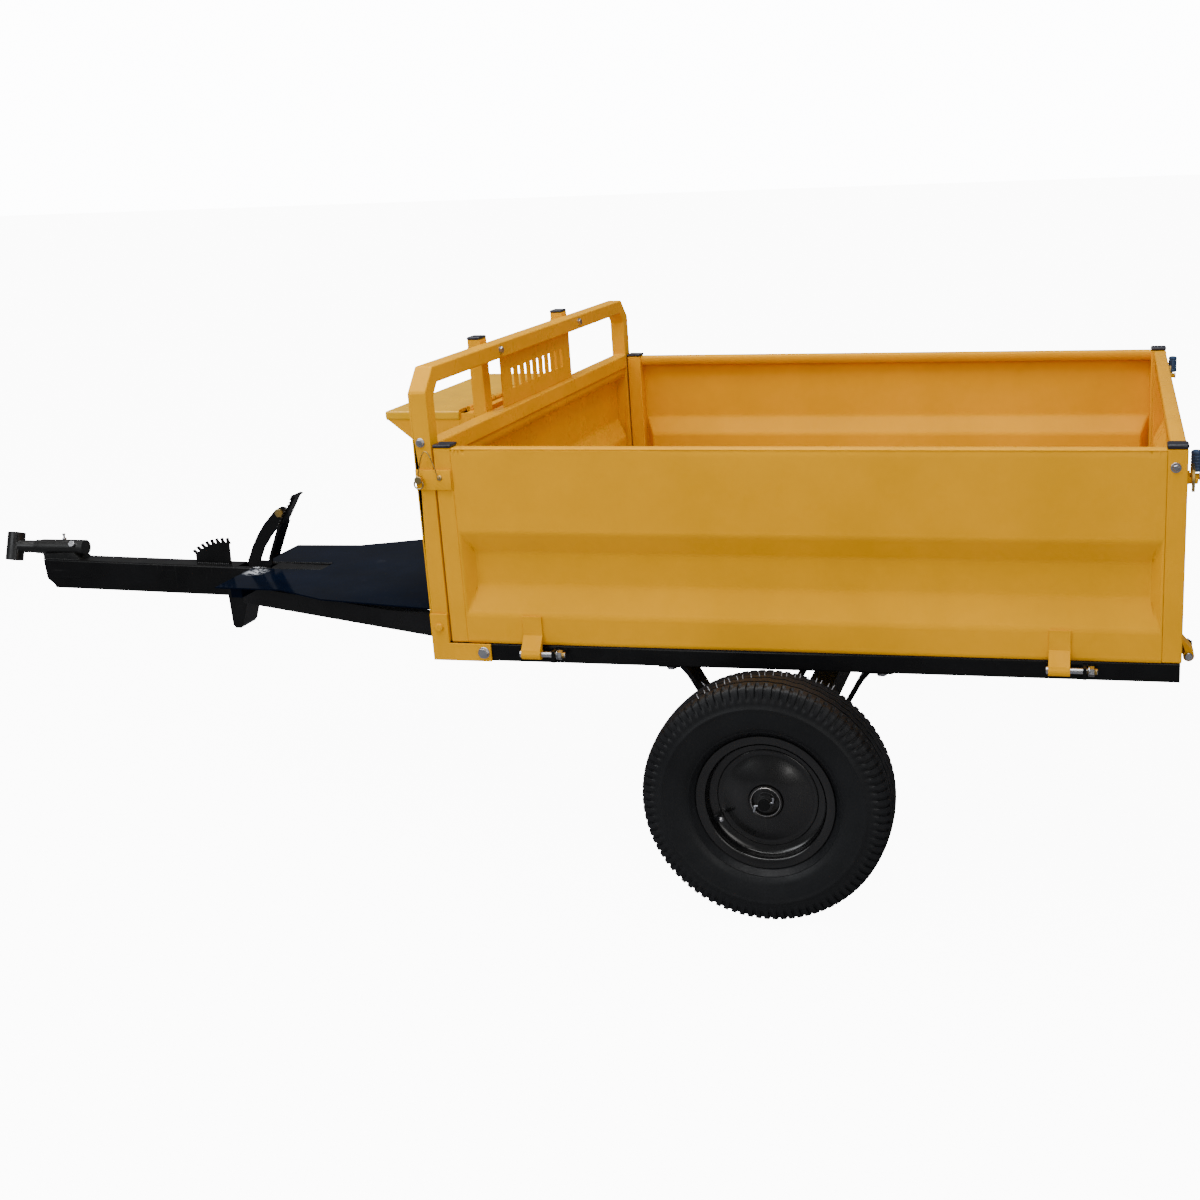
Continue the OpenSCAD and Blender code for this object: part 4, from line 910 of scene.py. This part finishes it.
g = Geo()
for s in (1, -1):
    bead(g, (1270, s * 26, 343), (1270, s * 26, 381))
    bead(g, (1269, s * 27, 382), (1232, s * 28, 384))
    bead(g, (1329, s * 4.6, beam_top(1329)), (1407, s * 4.6, beam_top(1407)), 2.2)
    bead(g, (1688, s * 20.6, beam_top(1688)), (1774, s * 20.6, beam_top(1774)), 2.6)
    bead(g, (1280, s * 26.5, beam_top(1280) - 44), (1325, s * 26.5, beam_top(1325) - 44), 2.6)
    bead(g, (1210, s * 160, 405), (1210, s * 130, 405), 2)
    bead(g, (TAIL_X, s * 26.5, 409.2), (PLATE_END_X, s * 26.5, 409.2), 2.5)
    for x in STRAP_X:
        bead(g, (x - 43.5, s * 562.4, 413), (x - 43.5, s * 562.4, 435), 1.9)
        bead(g, (x - 36.5, s * 562.4, 413), (x - 36.5, s * 562.4, 435), 1.9)
    for x in (-26, 26):
        bead(g, (x, s * 499, 235.5), (x, s * 547, 235.5), 2.4)
    bead(g, (560, s * 521.5, 440.2), (602, s * 521.5, 440.2), 2)
bead(g, (1776.5, -19, beam_top(1776)), (1776.5, 19, beam_top(1776)), 2.4)
g.obj("frame_welds", "chassis", WELD, "black_paint", sharp=60)
g = Geo()
# Black strips fill the slot gap under the footplate, a dark sheet put where there is shade.
shade_strip_x, shade_strip_z = TAIL_X - 16, (402, 407.8)
for y0, y1, end in ((-38, 38, TAIL_X + 12), (18, 38, PLATE_END_X), (-38, -18, PLATE_END_X)):
    g.pad((shade_strip_x, y0, shade_strip_z[0]), (end, y1, shade_strip_z[1]), 1)
g.obj("slot_shade_strips", "chassis", BEAM, "black_paint", sharp=40)
g = Geo()
for s in (1, -1):
    for y in (207, 239):
        bead(g, (601, s * y, 757), (601, s * y, 785), 1.9)
        bead(g, (601, s * y, 886), (601, s * y, 911), 1.9)
    bead(g, (600.6, s * 531, 441.5), (600.6, s * 559, 441.5), 2)
    for z in (757, 785):
        bead(g, (569.5, s * 529.5, z), (598.5, s * 529.5, z), 1.6)
    bead(g, (600.4, s * 529.6, 758), (600.4, s * 529.6, 784), 1.6)
    bead(g, (567.8, s * 529.6, 758), (567.8, s * 529.6, 784), 1.6)
    bead(g, (626.5, s * 239.4, 640), (626.5, s * 239.4, 770), 1.5)
g.obj("headboard_welds", "chassis", WELD_Y, "yellow_paint", sharp=60)
print("weld run beside the beam (mm)", PLATE_END_X - TAIL_X)

# %% [markdown]
# ## Screwed ends and washers
# The hinge bolts are long, and the thread shows beyond the nut. Pressed washers sit under
# the heads. The corner bracket's small upper head is painted over with the bracket.

# %% Threads and washers
threads, washers, painted = Geo(), Geo(), Geo()


def thread(at, axis, length, r=5.0, pitch=1.5):
    """A row of ridges that stands for the thread on a bolt's end."""
    ridges = []
    for k in range(int(length / pitch)):
        ridges += [(r + 0.02, k * pitch), (r + 0.42, k * pitch + pitch * 0.5)]
    ridges += [(r + 0.02, length)]
    threads.spin(ridges, at, axis, 28)


def washer_at(at, axis, r=9.0, hole=4.8, thick=1.4):
    """A flat washer of radius r whose lower face lies at one point."""
    washers.spin([(hole, 0), (hole, thick), (r - 0.5, thick), (r, thick - 0.5), (r, 0)],
                 at, axis, 36, closed=True)


hinge_metal, hinge_nuts = Geo(), Geo()


def hinge_bolt(at, axis):
    """Shank, low head, nut and washer; at is the shank's end, axis runs to the head."""
    hinge_metal.spin([(0.01, -1), (4.4, -1), (5, 0), (5, 78), (0.01, 78)], at, axis, 32)
    hinge_metal.spin([(0.01, 80.4), (5.4, 80.2), (6.6, 79.2), (6.8, 76.6)], at, axis, 32)
    hinge_nuts.spin([(5, 4.2), (7.4, 4.2), (8.4, 5), (8.4, 11), (7.4, 11.8), (5, 11.8)], at, axis, 6)
    washer_at(at + np.array(axis) * 0.0122, axis, 8.8)
    thread(at, axis, 5)
    thread(at + np.array(axis) * 0.0135, axis, 2.2)


for s in (1, -1):
    for x in STRAP_X:
        hinge_bolt(P(x - 59, s * HINGE_Y, HINGE_Z), (1.0, 0, 0))
    hinge_bolt(P(-671, s * GATE_HINGE_Y - 59, HINGE_Z), (0, 1.0, 0))
    washer_at(P(506, s * 566, 424), (0, s, 0), 10.5)
    painted.spin([(0.01, 4.7), (5.2, 4.6), (6.9, 3.4), (7.4, 0), (0.01, 0)],
                 P(584, s * 566, 468), (0, s, 0), 24)
    washer_at(P(586, s * 562, 790), (0, s, 0), 8)
    washer_at(P(568, s * STAKE_Y, 899), (-1, 0, 0), 8)
    washer_at(P(626, s * STAKE_Y, 899), (1, 0, 0), 8)
    for x in (-180, 180):
        washer_at(P(x, s * 535, 402), (0, 0, -1), 11)
painted.obj("painted_heads", "chassis", YELLOW, "yellow_paint", sharp=30)
hinge_metal.obj("hinge_shanks", "chassis", ZINC, "zinc_steel", sharp=30, part_of=("hinge_bolts",))
hinge_nuts.obj("hinge_nuts", "chassis", ZINC, "zinc_steel", sharp=20)
threads.obj("bolt_threads", "chassis", GOLD, "yellow_zinc", sharp=20)
washers.obj("washers", "chassis", ZINC, "zinc_steel", sharp=30)
print("washer and thread faces", len(washers.f), len(threads.f))

# %% [markdown]
# ## Pedal pad
# The driver's boot keeps the top of the pedal dull and grey. Nine low ribs cross it for
# grip, and the last is shorter, because the pad narrows there.

# %% Pedal pad
RIBS, RIB_PITCH = 9, 7.6
along = Vector((-41, 0, 66)).normalized()
g = Geo()
for k in range(RIBS):
    c = Vector((1192.5, 0, 505.0)) + along * (k - 0.5) * RIB_PITCH
    w = 18.5 if k < RIBS - 1 else 15.5
    g.sweep([P(c.x, q, c.z) for q in np.linspace(-w, w, 9)], [0.8] + [1.5] * 7 + [0.8], 8)
g.obj("pedal_ribs", "pedal", PAD, "black_paint", sharp=50)
print("pad ribs", RIBS)

# %% [markdown]
# ## Floor and surround
# The floor and the surround look white, but show darker to mirrored rays, as if black
# cards stood round the set. That keeps black paint deep and stops yellow from fading.

# %% Floor and surround
FLOOR_GLOW, SKY_SEEN, SKY_LIGHT, SKY_MIRRORED = 11.0, 14.0, 0.5, 0.14
floor_mat = finish("studio_floor", (0.5, 0.5, 0.495), 0.6, mottle=0.01, peel=(200, 0.05),
                   dull=0.05)
tree = floor_mat.node_tree
shine = tree.nodes["Principled BSDF"]
ray = tree.nodes.new("ShaderNodeLightPath")
glow = tree.nodes.new("ShaderNodeMath")
glow.operation = "MULTIPLY"
glow.inputs[1].default_value = FLOOR_GLOW
tree.links.new(ray.outputs["Is Camera Ray"], glow.inputs[0])
tree.links.new(glow.outputs[0], shine.inputs["Emission Strength"])
shine.inputs["Emission Color"].default_value = (1, 1, 1, 1)
shade = tree.nodes.new("ShaderNodeMix")
shade.data_type = "RGBA"
tree.links.new(ray.outputs["Is Glossy Ray"], shade.inputs[0])
tree.links.new(shine.inputs["Base Color"].links[0].from_socket, shade.inputs[6])
shade.inputs[7].default_value = (0.13, 0.13, 0.14, 1)
tree.links.new(shade.outputs[2], shine.inputs["Base Color"])
ground = Geo().grid([[(x, y, -0.0005) for x in (-40, 40)] for y in (-40, 40)])
floor = ground.obj("studio_floor_plane", None, floor_mat, None)
world = bpy.context.scene.world or bpy.data.worlds.new("studio")
bpy.context.scene.world = world
world.use_nodes = True
sky = world.node_tree.nodes["Background"]
sky.inputs[0].default_value = (0.97, 0.98, 1, 1)
tree = world.node_tree
ray = tree.nodes.new("ShaderNodeLightPath")


def blend_value(fac, one, two):
    """One value where fac is 0 and the other where it is 1."""
    n = tree.nodes.new("ShaderNodeMix")
    tree.links.new(fac, n.inputs[0])
    for k, c in ((2, one), (3, two)):
        if isinstance(c, float):
            n.inputs[k].default_value = c
        else:
            tree.links.new(c, n.inputs[k])
    return n.outputs[0]


dim = blend_value(ray.outputs["Is Glossy Ray"], SKY_LIGHT, SKY_MIRRORED)
tree.links.new(blend_value(ray.outputs["Is Camera Ray"], dim, SKY_SEEN), sky.inputs[1])
print("floor and surround ready")

# %% [markdown]
# ## Lights
# One broad soft light hangs overhead and shows the folds of the panels. A smaller one ahead
# on the left and a weak one behind the camera fill the near side.

# %% Lights


def light(name, at, look, size, power, tone=(1, 1, 1)):
    """A rectangular area light that hangs at one point and looks at another."""
    d = bpy.data.lights.new(name, "AREA")
    d.shape, d.size, d.size_y, d.energy, d.color = "RECTANGLE", size[0], size[1], power, tone
    o = bpy.data.objects.new(name, d)
    bpy.context.scene.collection.objects.link(o)
    o.location = at
    o.rotation_euler = (Vector(look) - Vector(at)).to_track_quat("-Z", "Y").to_euler()


light("overhead", (0.2, 0.6, 3.6), (0, 0, 0.4), (4.5, 3.0), 205)
light("front_left", (2.6, 3.4, 2.6), (0, 0.2, 0.5), (2.4, 1.8), 60, (0.95, 0.98, 1))
light("behind_camera", (-2.8, 4.6, 1.9), (-0.3, 0.3, 0.5), (3.0, 1.8), 42, (1, 0.98, 0.95))
print("lights", len(bpy.data.lights))

# %% [markdown]
# ## Camera
# The camera stands to the cart's left, beside its tail and above the seat, and looks down
# a little. It is turned by yaw, pitch and roll, and the frame is shifted to hold the drawbar.

# %% Camera
CAMERA_AT = (-1.13635, 2.9161, 1.2501)
cam_data = bpy.data.cameras.new("view")
cam_data.sensor_width = 36
cam_data.lens = 46.17
cam_data.shift_x = -0.1453
cam_data.shift_y = -0.0194
cam_data.dof.use_dof = False
cam = bpy.data.objects.new("view", cam_data)
bpy.context.scene.collection.objects.link(cam)
yaw, pitch, roll = -0.2202, -0.2750, -0.0412
fwd, right, up = Vector((0, -1, 0)), Vector((-1, 0, 0)), Vector((0, 0, 1))
f1 = fwd * math.cos(yaw) + right * math.sin(yaw)
r1 = right * math.cos(yaw) - fwd * math.sin(yaw)
f2 = f1 * math.cos(pitch) + up * math.sin(pitch)
u2 = up * math.cos(pitch) - f1 * math.sin(pitch)
r3 = r1 * math.cos(roll) + u2 * math.sin(roll)
u3 = u2 * math.cos(roll) - r1 * math.sin(roll)
turn = Matrix((r3, u3, -f2)).transposed().to_4x4()
cam.matrix_world = Matrix.Translation(CAMERA_AT) @ turn
bpy.context.scene.camera = cam
print("camera height (m)", CAMERA_AT[2])

# %% [markdown]
# ## Finish
# The scene is brought up to date.

# %% Finish
bpy.context.view_layer.update()
